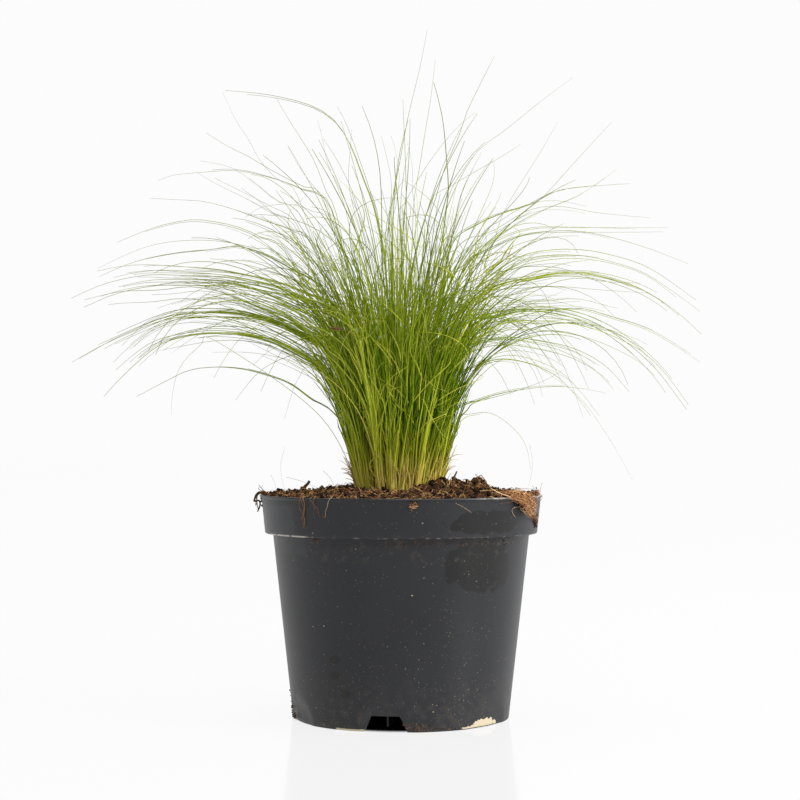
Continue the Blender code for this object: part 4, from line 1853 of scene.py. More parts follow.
@dataclass
class Grass:
    """The clump: blades that follow the CAD's tufts, the sheaths at their feet, and single strands."""

    soil: SoilBed
    # The CAD's rule for tufts: the step from ring to ring, how late a tuft bends, its straight foot, in how
    # many steps its lean is summed, the play of azimuths in degrees, and how far out and up the clump goes
    ring_step: float = 6.3 * MM
    bend_power: float = 1.27
    tuft_straight: float = 1.5 * MM
    lean_steps: int = 64
    azimuth_play: float = 5.0
    plant_reach: float = 190.0 * MM
    plant_top: float = 411.0 * MM
    # This ring's tufts to the four sides reach all the way out, with this lean in degrees at their tips
    compass_ring: str = "outer"
    compass_lean: float = 92.0
    # Blades' feet: how far out in the CAD's own distances, their shift, how deep in the soil, and their play
    foot_squeeze: float = 0.96
    foot_shift: Triple = (-1.0 * MM, 0.0, 0.0)
    foot_depth: float = 2.0 * MM
    foot_play: float = 2.5 * MM
    # A tuft's own growth, and its usual own tint and lean
    own_growth: Pair = (0.6, 1.4)
    own_tint: float = 0.24
    own_lean: float = 4.0
    # A blade's least length and usual growth past it, what the left and the sides add to that as shares, and
    # the play of the least
    least_length: float = 33.0 * MM
    usual_growth: float = 40.5 * MM
    growth_left: float = 0.17
    growth_sides: float = 0.22
    least_play: Pair = (0.75, 1.25)
    # How long blades may grow, in lengths of their tuft
    past_tip: float = 1.03
    # What the left and the sides add to leans as shares, their play in degrees, and the most
    foot_lean_left: float = 0.1
    foot_lean_play: float = 2.5
    lean_left: float = 0.1
    lean_sides: float = 0.55
    lean_play: float = 9.0
    most_lean: float = 165.0
    # How late blades bend, how far off their tuft's azimuth in its fans, and their usual drift in degrees
    bends: Pair = (1.55, 2.27)
    fan_share: float = 0.63
    drift: float = 38.0
    # The shares of blades that go far off their tuft's azimuth or drift far, and how many times as far
    stray_share: float = 0.22
    drift_share: float = 0.25
    stray: float = 3.0
    # How far tips wave sideways, the leading blades' too, and in how many waves
    sway: float = 4.2 * MM
    lead_sway: float = 4.0 * MM
    waves: Pair = (0.4, 1.4)
    # A blade's usual radius, and its play, least and most as shares of it
    width: float = 0.42 * MM
    width_play: float = 0.18
    widths: Pair = (0.6, 1.5)
    tint: float = 0.52
    tint_play: float = 0.3
    # The share of blades that have begun to dry, and how dry they are
    dead_share: float = 0.03
    dryness: Pair = (0.2, 0.5)
    # Blades shorter than this have the first number of stations, and the others the second
    short: float = 110 * MM
    blade_stations: tuple[int, int] = (11, 24)
    tufts_a_piece: int = 4
    # Blades outside the tufts: their usual drift in degrees and sway, and the least and most of the others
    usual_drift: float = 10.0
    usual_sway: float = 1.2 * MM
    usual_bends: Pair = (1.0, 1.5)
    usual_waves: Pair = (0.4, 1.2)
    # Sheaths: how many bunches and sheaths, within what radius, lengths and radii in mm, how they lean at
    # foot and tip, and their sway in that of other blades outside the tufts
    sheath_bunches: int = 70
    sheath_count: int = 420
    sheath_ring: float = 25.5 * MM
    sheath_lengths: Pair = (22.0, 85.0)
    sheath_radii: Pair = (0.3, 0.56)
    sheath_foot: SheathLean = SheathLean(8.0, 3.0, 20.0)
    sheath_tip: SheathLean = SheathLean(20.0, 8.0, 28.0)
    sheath_sway: float = 1.9
    # Least and most radius of the outermost bunches, in the ring's, and sheaths' usual own turn and growth
    outermost: Pair = (0.85, 1.04)
    sheath_turn: float = 16.0
    sheath_reach: float = 0.35
    # A bunch's usual own lean and turn in degrees, and the mean and play of its tint
    bunch_lean: float = 8.0
    bunch_turn: float = 40.0
    bunch_tint: Pair = (0.5, 0.26)
    # The share of sheaths that are dry, how dry they are, and from what length they dry and are wholly dry
    dry_sheaths: float = 0.26
    sheath_dryness: Pair = (0.3, 1.0)
    dry_below: Pair = (62 * MM, 34 * MM)
    # Dead blades and the radius that they lie within, and curly blades
    dead_ring: float = 27.5 * MM
    dead: Loose = Loose(380, 60.0, (0, 22), (10, 110), (1, 3), (7, 32), (0.18, 0.46), (0.5, 1), 0.8, 1.0)
    curly: Loose = Loose(
        180, 150.0, (0, 60), (60, 140), (0.6, 1.6), (20, 60), (0.18, 0.31), (0, 0.22), 1.0, 0.42
    )
    # Least and most, in mm: where curly blades start, out from the axis and up from the crown
    curl_ring: Pair = (14.0, 28.0)
    curl_heights: Pair = (25.0, 140.0)
    # How far out they start by height, and their sway and waves in those of other loose blades
    curl_spread: float = 0.28
    curl_sway: float = 2.2
    curl_waves: float = 1.8
    # Strands stand at depths evenly spread over this many mm, from so far before the axis
    strand_depths: Pair = (60.0, 34.0)
    strand_stations: int = 36
    # The growth of strands that have a lift, as a share of the others', and their dryness
    near_growth: float = 0.4
    near_dryness: float = 0.15
    # Blades beside a line: the least share of it that they go along, how far they part along x, y and z in
    # the spread, how far they wave, and the least and most of that sine wave in radians
    least_beside: float = 0.55
    parting: Triple = (0.7, 2.4, 0.7)
    ripple: float = 1.5 * MM
    ripples: Pair = (3.0, 9.0)
    # The furthest that their feet stand to the left and right
    lead_ins: Pair = (-24 * MM, 22 * MM)
    # Turned locks: how many blades, how far apart their tips are, and their radii in mm
    turned: int = 230
    turned_stations: int = 26
    turned_spread: float = 6 * MM
    # How far turned locks reach, in lengths of the locks at the sides
    turned_reach: float = 0.9
    turned_radii: Pair = (0.3, 0.44)
    # Strands of more blades than this are locks that are turned, by this many degrees with this usual play
    few_blades: int = 4
    quarter: Pair = (90.0, 30.0)
    turned_tints: Pair = (0.2, 0.9)
    rings: tuple[TuftRing, ...] = (
        TuftRing("heart", 1, 90.0, 0.0, (9, 9), (), 60, 180.0),
        TuftRing("inner", 6, 20.0, 2.0, (20, 36), (228, 262), 72, 30.0),
        TuftRing("middle", 12, 12.0, 4.0, (42, 62), (232, 268), 69, 13.0),
        TuftRing("outer", 16, 0.0, 6.0, (72, 96), (222, 256), 60, 8.0),
        TuftRing("skirt", 20, 9.0, 8.0, (112, 142), (188, 232), 46, 7.0),
    )
    strands: tuple[Strand, ...] = (
        Strand(((-38, 243), (-49, 250), (-62, 255), (-74, 260), (-92, 264), (-110, 267), (-135, 268),
                (-156, 268), (-180, 263), (-201, 254)), 0.4, 22, 5.7),
        Strand(((-43, 235), (-55, 244), (-68, 251), (-86, 258), (-104, 263), (-123, 263), (-141, 263),
                (-154, 261)), 0.4, 17, 6.1),
        Strand(((-43, 225), (-55, 233), (-74, 244), (-92, 251), (-110, 258), (-129, 261), (-147, 259),
                (-171, 258), (-193, 253)), 0.4, 17, 6.1),
        Strand(((-43, 221), (-58, 231), (-77, 240), (-98, 245), (-116, 246), (-135, 245), (-148, 241),
                (-162, 235), (-177, 228), (-196, 217)), 0.43, 14, 4.6),
        Strand(((-49, 225), (-68, 238), (-85, 244), (-101, 250), (-119, 250), (-135, 247),
                (-148, 242), (-159, 236), (-170, 225)), 0.36, 14, 6.5),
        Strand(((-43, 207), (-58, 218), (-77, 228), (-95, 232), (-113, 233), (-129, 231), (-144, 227),
                (-156, 219), (-171, 205), (-181, 194)), 0.43, 13, 3.8),
        Strand(((-46, 209), (-62, 221), (-80, 230), (-98, 238), (-113, 241), (-129, 242), (-144, 239),
                (-157, 231), (-168, 222), (-175, 215)), 0.32, 13, 6.5),
        Strand(((-42, 185), (-54, 192), (-68, 202), (-85, 208), (-98, 211), (-113, 212), (-129, 210),
                (-144, 203), (-161, 194)), 0.42, 3, 1.2),
        Strand(((-46, 207), (-62, 217), (-80, 225), (-95, 228), (-113, 228), (-132, 225),
                (-147, 222)), 0.3, 3, 2.0),
        Strand(((-51, 204), (-65, 215), (-80, 219), (-95, 221), (-115, 221)), 0.26, 3, 2.5),
        Strand(((-113, 228), (-122, 225), (-131, 217), (-136, 209), (-139, 197), (-140, 183)), 0.22),
        Strand(((-54, 211), (-63, 204), (-67, 194), (-71, 180)), 0.2),
        Strand(((-49, 259), (-62, 269), (-77, 278), (-89, 283), (-101, 286), (-113, 284), (-135, 282),
                (-156, 278), (-171, 273), (-184, 267)), 0.36, 4, 2.0),
        Strand(((-68, 280), (-85, 291), (-98, 297), (-110, 300), (-126, 302), (-144, 299),
                (-159, 294), (-173, 288)), 0.32, 3, 1.6),
        Strand(((-71, 276), (-92, 285), (-113, 289), (-135, 289), (-153, 286), (-171, 279),
                (-185, 272)), 0.24),
        Strand(((-52, 285), (-68, 296), (-85, 302), (-101, 308), (-120, 313), (-135, 314),
                (-153, 315)), 0.26, 3, 2.0),
        Strand(((-10, 276), (-13, 293), (-17, 311), (-23, 327), (-31, 348), (-40, 362), (-51, 370),
                (-65, 375), (-85, 379), (-107, 381)), 0.4, 3, 1.2),
        Strand(((-13, 297), (-19, 320), (-24, 335), (-29, 349), (-34, 362), (-39, 371)), 0.34),
        Strand(((-23, 286), (-29, 309), (-32, 326), (-31, 345), (-30, 357)), 0.26),
        Strand(((-31, 296), (-38, 320), (-45, 337), (-48, 352), (-51, 363)), 0.24),
        Strand(((-38, 300), (-46, 320), (-53, 338), (-62, 353), (-69, 364), (-76, 376)), 0.3),
        Strand(((-43, 305), (-54, 323), (-62, 334), (-69, 347)), 0.26),
        Strand(((-42, 308), (-59, 320), (-71, 325), (-85, 329), (-101, 332), (-120, 331), (-140, 329),
                (-148, 326)), 0.34, 3, 1.4),
        Strand(((-46, 311), (-62, 323), (-77, 331), (-92, 340), (-106, 347), (-119, 355)), 0.32),
        Strand(((-62, 314), (-75, 326), (-86, 338), (-93, 351), (-101, 363), (-109, 380)), 0.22),
        Strand(((-59, 300), (-77, 314), (-89, 324), (-104, 334), (-123, 338)), 0.24, 3, 3.0),
        Strand(((-27, 232), (-34, 257), (-41, 275), (-46, 289), (-51, 301)), 0.33, 14, 9.0),
        Strand(((-34, 222), (-49, 252), (-61, 269), (-71, 279), (-82, 286)), 0.31, 10, 9.0),
        Strand(((-62, 293), (-80, 307), (-95, 315), (-113, 324), (-125, 331)), 0.24, 4, 4.0),
        Strand(((-42, 297), (-52, 306), (-65, 311), (-77, 311), (-87, 309), (-95, 303)), 0.26),
        Strand(((-9, 276), (-7, 302), (-4, 320), (0, 341), (4, 363), (8, 380), (12, 397), (16, 418)), 0.36),
        Strand(((7, 293), (8, 314), (11, 332), (15, 357), (18, 375), (21, 400)), 0.28),
        Strand(((24, 280), (27, 302), (29, 320), (28, 338), (26, 360), (23, 375), (20, 386)), 0.62),
        Strand(((16, 293), (21, 314), (27, 334), (35, 352), (40, 367), (48, 384), (57, 402)), 0.32),
        Strand(((-2, 299), (3, 313), (12, 329), (23, 345), (35, 359), (46, 368)), 0.28),
        Strand(((27, 307), (36, 329), (48, 345), (64, 357), (85, 374), (105, 389)), 0.22),
        Strand(((18, 309), (29, 321), (43, 330), (59, 339), (73, 348)), 0.28),
        Strand(((34, 305), (40, 325), (46, 337), (49, 343)), 0.34, 3, 1.2),
        Strand(((-6, 289), (-3, 311), (-1, 327), (-3, 343), (-6, 353)), 0.26),
        Strand(((-8, 283), (-6, 308), (-6, 326), (-9, 341), (-12, 353)), 0.24),
        Strand(((9, 294), (7, 320), (7, 334), (4, 349)), 0.22),
        Strand(((30, 283), (42, 296), (60, 305), (79, 311), (94, 319), (112, 322),
                (140, 324)), 0.32, 3, 1.0),
        Strand(((45, 276), (60, 293), (76, 307), (88, 317), (106, 337), (129, 362)), 0.26),
        Strand(((56, 286), (62, 305), (73, 324), (85, 343), (96, 362)), 0.24),
        Strand(((48, 276), (66, 296), (88, 308), (109, 317), (132, 333)), 0.24, 3, 3.0),
        Strand(((47, 285), (60, 297), (79, 308), (97, 310), (121, 306), (152, 303)), 0.26, 3, 1.6),
        Strand(((39, 274), (59, 289), (79, 296), (103, 297), (134, 297), (163, 297)), 0.3, 3, 1.4),
        Strand(((37, 270), (54, 283), (73, 292), (94, 295), (115, 294), (146, 286),
                (175, 275)), 0.28, 3, 2.4),
        Strand(((31, 242), (41, 255), (54, 265), (70, 276), (88, 280), (109, 280), (129, 276),
                (149, 269), (170, 255), (182, 246)), 0.34, 9, 4.9),
        Strand(((33, 239), (45, 253), (60, 262), (79, 266), (97, 269), (118, 268), (137, 263),
                (153, 256), (170, 244), (183, 232)), 0.4, 11, 3.8),
        Strand(((33, 231), (48, 242), (66, 246), (91, 246), (109, 247), (127, 242), (149, 235),
                (167, 225), (182, 215)), 0.32, 7, 5.7),
        Strand(((30, 224), (45, 231), (63, 239), (85, 240), (106, 238), (124, 233), (146, 222),
                (161, 208), (175, 189)), 0.36, 9, 5.7),
        Strand(((29, 213), (45, 225), (63, 230), (85, 228), (106, 223), (124, 213),
                (139, 197)), 0.34, 7, 5.7),
        Strand(((42, 235), (60, 243), (79, 247), (100, 245), (118, 239), (136, 228), (155, 211),
                (174, 186)), 0.38, 6, 3.0),
        Strand(((33, 204), (48, 214), (63, 219), (79, 217), (97, 209), (110, 196),
                (121, 182)), 0.3, 6, 5.7),
        Strand(((47, 253), (63, 251), (79, 241), (94, 222), (104, 201), (111, 181)), 0.28),
        Strand(((33, 185), (48, 192), (66, 197), (91, 200), (109, 199), (125, 196)), 0.3, 3, 2.0),
        Strand(((33, 187), (51, 192), (69, 197), (88, 204), (98, 210)), 0.28),
        Strand(((31, 253), (48, 258), (73, 260), (97, 261), (121, 259), (152, 257)), 0.26, 3, 4.0),
        Strand(((24, 187), (37, 183), (54, 184), (68, 175), (76, 164), (79, 149)), 0.2),
        Strand(((60, 225), (88, 209), (109, 193), (127, 168), (141, 143)), 0.16),
        Strand(((-1, 293), (2, 290), (5, 290.5), (9, 288)), 0.24, lift=46),
        Strand(((42, 258), (50, 266), (60, 271)), 0.38, 7, 3.8),
        Strand(((-37, 240), (-30, 251), (-23, 259), (-15, 261), (-9, 259)), 0.26, lift=48),
        Strand(((-55, 223), (-44, 232), (-36, 237)), 0.24, lift=44),
        Strand(((-28, 223), (-19, 231), (-12, 240), (-5, 247)), 0.3, lift=52),
        Strand(((-31, 240), (-18, 240), (-10, 240)), 0.22, lift=50),
        Strand(((-30, 230), (-22, 229), (-18, 232), (-11, 240)), 0.24, lift=46),
        Strand(((17, 244), (25, 227), (28, 223)), 0.25, lift=46),
        Strand(((18, 222), (25, 224), (31, 224)), 0.22, lift=44),
        Strand(((12, 192), (18, 182), (25, 171), (30, 168)), 0.3, lift=42),
        Strand(((16, 200), (22, 199), (28, 197)), 0.22, lift=40),
        Strand(((19, 185), (25, 190), (33, 194)), 0.24, lift=42),
        Strand(((24, 203), (25, 171)), 0.3, lift=40),
        Strand(((-11, 201), (-5, 194), (-1, 189)), 0.22, lift=42),
    )

    def crown(self) -> float:
        """Where the tufts' feet stand."""
        return self.soil.pot.height + self.soil.crown_rise + 0.3 * MM

    def rooted(self, flat: Array) -> Array:
        """Blades' feet a little below the soil, from their places seen from above."""
        x, y, _ = (flat + self.foot_shift).T
        return np.stack([x, y, self.soil.level(x, y) - self.foot_depth], axis=-1)

    def _unit_reach(self, foot_lean: float, tip_lean: float) -> Pair:
        """How far out and up a tuft of length 1 goes, summed over short steps along its lean.

        Args:
            foot_lean: the lean at its foot, in degrees.
            tip_lean: the lean at its tip.

        Returns:
            How far out and how far up.
        """
        share = (np.arange(self.lean_steps) + 0.5) / self.lean_steps
        lean = np.radians(mix(foot_lean, tip_lean, share**self.bend_power))
        return float(np.sin(lean).mean()), float(np.cos(lean).mean())

    def _tuft(self, ring_index: int, index: int) -> tuple[float, float, float, float]:
        """A tuft's distance from the axis, azimuth, tip lean and length, by the CAD's rule.

        Args:
            ring_index: which ring.
            index: which tuft of it.

        Returns:
            The distance from the axis, azimuth, tip lean and length.
        """

        def play(order: int, channel: int) -> float:
            """An even spread of values from 0 to 1, in steps of the golden ratio."""
            return (order * GOLDEN + channel * (1.0 - GOLDEN) + 0.13) % 1.0

        ring = self.rings[ring_index]
        radius = ring_index * self.ring_step
        order = index + 10 * ring_index
        azimuth = ring.first_azimuth + index * 360.0 / ring.count
        if ring.name == self.compass_ring and (index * 4) % ring.count == 0:
            out, _ = self._unit_reach(ring.foot_lean, self.compass_lean)
            return radius, azimuth, self.compass_lean, (self.plant_reach - radius) / out
        tip_lean = mix(*ring.tip_leans, play(order, 0))
        if not ring.lengths:
            _, up = self._unit_reach(ring.foot_lean, tip_lean)
            return radius, azimuth, tip_lean, (self.plant_top - self.crown() - self.tuft_straight) / up
        azimuth += self.azimuth_play * (play(order, 2) - 0.5)
        return radius, azimuth, tip_lean, mix(*ring.lengths, play(order, 1)) * MM

    def ring_blades(self, ring_index: int) -> Blades:
        """The blades of one ring's tufts, tuft after tuft.

        A blade starts within its tuft's foot, and takes the tuft's azimuth and leans with play of its own.
        Its length falls off by a half every few centimetres past the least, cut at the tuft's length. Each
        tuft has a character of its own too: how long and how green its blades are. Growth and lean are
        stronger at the sides and on the left. The first blade of the tufts that lean straight to the front
        and the back leads: it runs along the whole tuft to its tip.

        Args:
            ring_index: which ring.

        Returns:
            The blades.
        """
        ring = self.rings[ring_index]
        rng = Seed.TUFTS.draws(ring_index)
        tufts = np.array([self._tuft(ring_index, index) for index in range(ring.count)])
        growth = rng.uniform(*self.own_growth, ring.count)
        tint = rng.normal(0.0, self.own_tint, ring.count)
        lean = rng.normal(0.0, self.own_lean, ring.count)
        tufts = np.column_stack([tufts, growth, tint, lean])
        radius, azimuth, tip_lean, full, growth, tint, lean = np.repeat(tufts, ring.blades, axis=0).T
        count = len(radius)
        left = -np.sin(np.radians(azimuth))
        away = self.foot_play * np.sqrt(rng.random(count))
        foot = on_axis(radius * self.foot_squeeze, azimuth, 0.0)
        foot = foot + on_axis(away, rng.uniform(0, 360, count), 0.0)
        sides = np.abs(left)
        usual = self.usual_growth * growth * (1.0 + self.growth_left * left + self.growth_sides * sides)
        least = self.least_length * rng.uniform(*self.least_play, count)
        cut = 1.0 - np.exp(-(self.past_tip * full - least) / usual)
        length = least - usual * np.log(1.0 - rng.random(count) * cut)
        stray = np.where(rng.random(count) < self.stray_share, self.stray, 1.0)
        blades = Blades(
            foot=self.rooted(foot),
            azimuth=azimuth + rng.normal(0.0, ring.fan * self.fan_share, count) * stray,
            drift=rng.normal(0.0, self.drift, count)
            * np.where(rng.random(count) < self.drift_share, self.stray, 1.0),
            foot_lean=ring.foot_lean * (1.0 + self.foot_lean_left * (left - 1.0))
            + rng.normal(0.0, self.foot_lean_play, count),
            tip_lean=np.minimum(
                self.most_lean,
                tip_lean * (1.0 + self.lean_left * left + self.lean_sides * sides)
                + lean
                + rng.normal(0.0, self.lean_play, count),
            ),
            bend=rng.uniform(*self.bends, count),
            length=length,
            reach=length / full,
            sway=rng.normal(0.0, self.sway, count),
            waves=rng.uniform(*self.waves, count),
            phase=rng.uniform(0.0, math.tau, count),
            radius=np.clip(rng.normal(1.0, self.width_play, count), *self.widths) * self.width,
            tint=np.clip(self.tint + tint + rng.normal(0.0, self.tint_play, count), 0.0, 1.0),
            dry=np.where(rng.random(count) < self.dead_share, rng.uniform(*self.dryness, count), 0.0),
        )
        if ring.name == self.compass_ring:
            own = {"foot_lean": ring.foot_lean, "bend": self.bend_power, "sway": self.lead_sway}
            for tuft in (0, ring.count // 2):
                blades.lead(tuft * ring.blades, tufts[tuft], **own)
        return blades

    def _usual(self, rng: np.random.Generator, foot: Array, azimuth: Array, **numbers: Array) -> Blades:
        """Blades outside the tufts.

        Args:
            rng: where the numbers that aren't given come from.
            foot: their feet.
            azimuth: their azimuths.
            **numbers: their numbers, in place of the usual ones.

        Returns:
            The blades.
        """
        count = len(foot)
        usual = {
            "drift": rng.normal(0.0, self.usual_drift, count),
            "bend": rng.uniform(*self.usual_bends, count),
            "sway": rng.normal(0.0, self.usual_sway, count),
            "waves": rng.uniform(*self.usual_waves, count),
            "phase": rng.uniform(0.0, math.tau, count),
        }
        return Blades(foot=foot, azimuth=azimuth, **(usual | numbers))

    def _loose(self, kind: Loose, rng: np.random.Generator, foot: Array, azimuth: Array) -> Blades:
        """Loose blades of a kind.

        Args:
            kind: the kind.
            rng: where their numbers come from.
            foot: their feet.
            azimuth: their azimuths.

        Returns:
            The blades.
        """
        return self._usual(
            rng,
            foot,
            azimuth,
            drift=rng.normal(0.0, kind.drift, kind.count),
            foot_lean=rng.uniform(*kind.foot_leans, kind.count),
            tip_lean=rng.uniform(*kind.tip_leans, kind.count),
            bend=rng.uniform(*kind.bends, kind.count),
            length=rng.uniform(*kind.lengths, kind.count) * MM,
            radius=rng.uniform(*kind.radii, kind.count) * MM,
            tint=np.full(kind.count, kind.tint),
            dry=rng.uniform(*kind.dry, kind.count),
            reach=np.full(kind.count, kind.reach),
        )

    def sheaths(self) -> Shape:
        """The short thick sheaths at the blades' feet, gathered in small bunches, half of them outermost.

        Returns:
            The sheaths as one shape.
        """
        rng, bunches, count = Seed.SHEATHS.draws(), self.sheath_bunches, self.sheath_count
        outermost, anywhere = rng.uniform(*self.outermost, bunches), np.sqrt(rng.random(bunches))
        radius = self.sheath_ring * np.where(np.arange(bunches) % 2, outermost, anywhere)
        azimuth = rng.uniform(0.0, 360.0, bunches)
        lean, turn = rng.normal(0.0, self.bunch_lean, bunches), rng.normal(0.0, self.bunch_turn, bunches)
        tint = rng.normal(*self.bunch_tint, bunches)
        bunch = rng.integers(0, bunches, count)
        foot = on_axis(radius, azimuth, 0.0)[bunch]
        foot = foot + rng.normal(0.0, 1.0 * MM, (count, 3)) * (1.0, 1.0, 0.0)
        share = np.hypot(foot[:, 0], foot[:, 1]) / self.sheath_ring
        outwards = np.degrees(np.arctan2(foot[:, 0], -foot[:, 1]))
        blades = self._usual(
            rng,
            self.rooted(foot),
            outwards + turn[bunch] + rng.normal(0.0, self.sheath_turn, count),
            foot_lean=self.sheath_foot.of(share, lean[bunch], rng),
            tip_lean=self.sheath_tip.of(share, lean[bunch], rng),
            length=rng.uniform(*self.sheath_lengths, count) * MM,
            radius=rng.uniform(*self.sheath_radii, count) * MM,
            tint=np.clip(tint[bunch] + rng.normal(0.0, self.bunch_tint[1], count), 0.0, 1.0),
            dry=(rng.random(count) < self.dry_sheaths) * rng.uniform(*self.sheath_dryness, count),
            reach=np.full(count, self.sheath_reach),
        )
        blades.dry *= smooth_step(*self.dry_below, blades.length)
        blades.sway *= self.sheath_sway
        return blades.shape(12, 5)

    def litter(self) -> Shape:
        """Dead blades and torn sheaths round the foot: short, pale and bent any way.

        Returns:
            The dead blades as one shape.
        """
        rng, count = Seed.DEAD_BLADES.draws(), self.dead.count
        radius = self.dead_ring * rng.random(count) ** 0.4
        azimuth = rng.uniform(0.0, 360.0, count)
        foot = self.rooted(on_axis(radius, azimuth, 0.0))
        return self._loose(self.dead, rng, foot, azimuth + rng.normal(0.0, 50.0, count)).shape(9)

    def curls(self) -> Shape:
        """Loose curly blades that cross the clump, paler than the rest.

        Returns:
            The curly blades as one shape.
        """
        rng, count = Seed.CURLY_BLADES.draws(), self.curly.count
        radius = rng.uniform(*self.curl_ring, count) * MM
        azimuth = rng.uniform(0.0, 360.0, count)
        lifted = rng.uniform(*self.curl_heights, count) * MM
        foot = on_axis(radius + lifted * self.curl_spread, azimuth, self.crown() + lifted) + self.foot_shift
        blades = self._loose(self.curly, rng, foot, azimuth + rng.uniform(-90.0, 90.0, count))
        blades.sway *= self.curl_sway
        blades.waves *= self.curl_waves
        return blades.shape(22)

    def seen_at(self, x: Array, z: Array, depth: Array) -> Array:
        """The points that deep behind the plane through the axis that the camera sees at x and z on it."""
        grow = 1.0 + depth / CAMERA_DISTANCE
        return np.stack([x * grow, depth, CAMERA_HEIGHT + (z - CAMERA_HEIGHT) * grow], axis=-1)

    def led(self, strand: Strand, behind: float, stations: int) -> Array:
        """A smooth line from the crown through a strand's points, going behind the axis by a distance.

        Args:
            strand: the strand.
            behind: how far its far end lies behind the axis.
            stations: how many points.

        Returns:
            (stations, 3) points.
        """
        x, z = np.array(strand.points).T * MM
        foot = np.clip(x[0] * 0.4, *self.lead_ins)
        x = np.concatenate([[foot, mix(foot, x[0], 0.3)], x])
        z = np.concatenate([[self.crown() - 2 * MM, mix(self.crown(), z[0], 0.5)], z])
        depth = behind * smooth_step(0.0, 0.55, even(len(x)))
        return smooth_line(self.seen_at(x, z, depth), stations)

    def beside(self, line: Array, spread: float, rng: np.random.Generator) -> Array:
        """A blade beside a line: it parts from it along its length, waves, and may end before it.

        Args:
            line: the line's points.
            spread: how far apart the tips are, as a usual distance.
            rng: where its course comes from.

        Returns:
            The blade's points, as many as the line's.
        """
        share = even(len(line))
        cut = rng.uniform(self.least_beside, 1.0)
        own = np.stack([np.interp(share * cut, share, line[:, k]) for k in range(3)], axis=-1)
        apart = rng.normal(0.0, 1.0, 3) * self.parting * spread
        wave = np.sin(rng.uniform(*self.ripples) * share + rng.uniform(0.0, math.tau))
        wave = wave * rng.normal(0.0, self.ripple)
        return own + apart * share[:, None] ** 0.8 + (wave * share)[:, None] * (0.4, 0.0, 1.0)

    def strand_shape(self) -> Shape:
        """The single strands and locks, each at its own depth, the first of a lock along its whole line.

        Returns:
            The strands as one shape.
        """
        rng, share = Seed.STRANDS.draws(), even(self.strand_stations)
        depths, before = self.strand_depths
        paths, radii, near = [], [], []
        for index, strand in enumerate(self.strands):
            behind = depths * ((index * GOLDEN) % 1.0) - before if strand.lift is None else -strand.lift
            line = self.led(strand, behind * MM, len(share))
            paths += [line] + [self.beside(line, strand.spread * MM, rng) for _ in range(strand.count - 1)]
            thin = drawn_out(share, 2.0)
            radii += [strand.radius * MM * rng.uniform(0.85, 1.1) * thin for _ in range(strand.count)]
            near += [strand.lift is not None] * strand.count
        near = np.array(near)[:, None]
        tint = np.where(near, 1.0, Seed.STRAND_TINTS.draws().uniform(0.3, 1.0, (len(paths), 1)))
        grown = share * np.where(near, self.near_growth, 1.0)
        dry = near * self.near_dryness
        return tubes(np.stack(paths), np.stack(radii), 3, tint=tint, dry=dry, grown=grown)

    def turned_locks(self) -> Shape:
        """The long locks once more, turned about the axis to the front and the back.

        Returns:
            The turned blades as one shape.
        """
        rng, share, column = Seed.TURNED_LOCKS.draws(), even(self.turned_stations), (self.turned, 1)
        locks = [strand for strand in self.strands if strand.count > self.few_blades]
        lines = [self.led(lock, 0.0, len(share)) for lock in locks]
        paths = []
        for number in range(self.turned):
            path = self.beside(lines[number % len(lines)], self.turned_spread, rng)
            turn = math.radians(rng.normal(*self.quarter) * (1.0 if number % 5 < 3 else -1.0))
            along = path[:, 0] * math.copysign(self.turned_reach, path[-1, 0])
            x, y = along * math.cos(turn) - path[:, 1], along * math.sin(turn)
            paths.append(np.stack([x, y, path[:, 2]], axis=-1))
        radii = rng.uniform(*self.turned_radii, column) * MM * drawn_out(share, 2.0)
        tint = rng.uniform(*self.turned_tints, column)
        return tubes(np.stack(paths), radii, 3, tint=tint, dry=tint * 0.0, grown=share)

    def build(self) -> None:
        """Makes every piece of the clump, a few tufts to a piece."""
        green = BladeGreen().material()
        for ring_index, ring in enumerate(self.rings):
            blades = self.ring_blades(ring_index)
            short = blades.length < self.short
            nodes = ring.nodes()
            groups = max(1, round(ring.count / self.tufts_a_piece))
            for group, tufts in enumerate(np.array_split(np.arange(ring.count), groups)):
                rows = (tufts[:, None] * ring.blades + np.arange(ring.blades)).ravel()
                name = f"blades_{ring.name}" if groups == 1 else f"blades_{ring.name}_{group + 1}"
                stood_for = [nodes[t] for t in tufts]
                kinds = zip((short[rows], ~short[rows]), self.blade_stations)
                shapes = [blades.picked(rows[kind]).shape(stations) for kind, stations in kinds]
                Shape.joined(shapes).piece(name, green, Slot.GRASS, stood_for)
        rest = {
            "blade_sheaths": self.sheaths,
            "dead_blades": self.litter,
            "curly_blades": self.curls,
            "single_strands": self.strand_shape,
            "turned_locks": self.turned_locks,
        }
        for name, shape in rest.items():
            shape().piece(name, green, Slot.GRASS)


# Loose bits on the rim and the wall


@dataclass(frozen=True)
class Heap:
    """Crumbs caught on the wall. Azimuth and height have their spreads after them, in degrees and mm."""

    azimuth: float
    spread: float
    height: float
    rise: float
    count: int
    size: float
    tint: float


@dataclass(frozen=True)
class Knot:
    """A ball of curling fibres: azimuth in degrees, and off the wall, height and size in mm."""

    azimuth: float
    off: float
    height: float
    size: float
    count: int


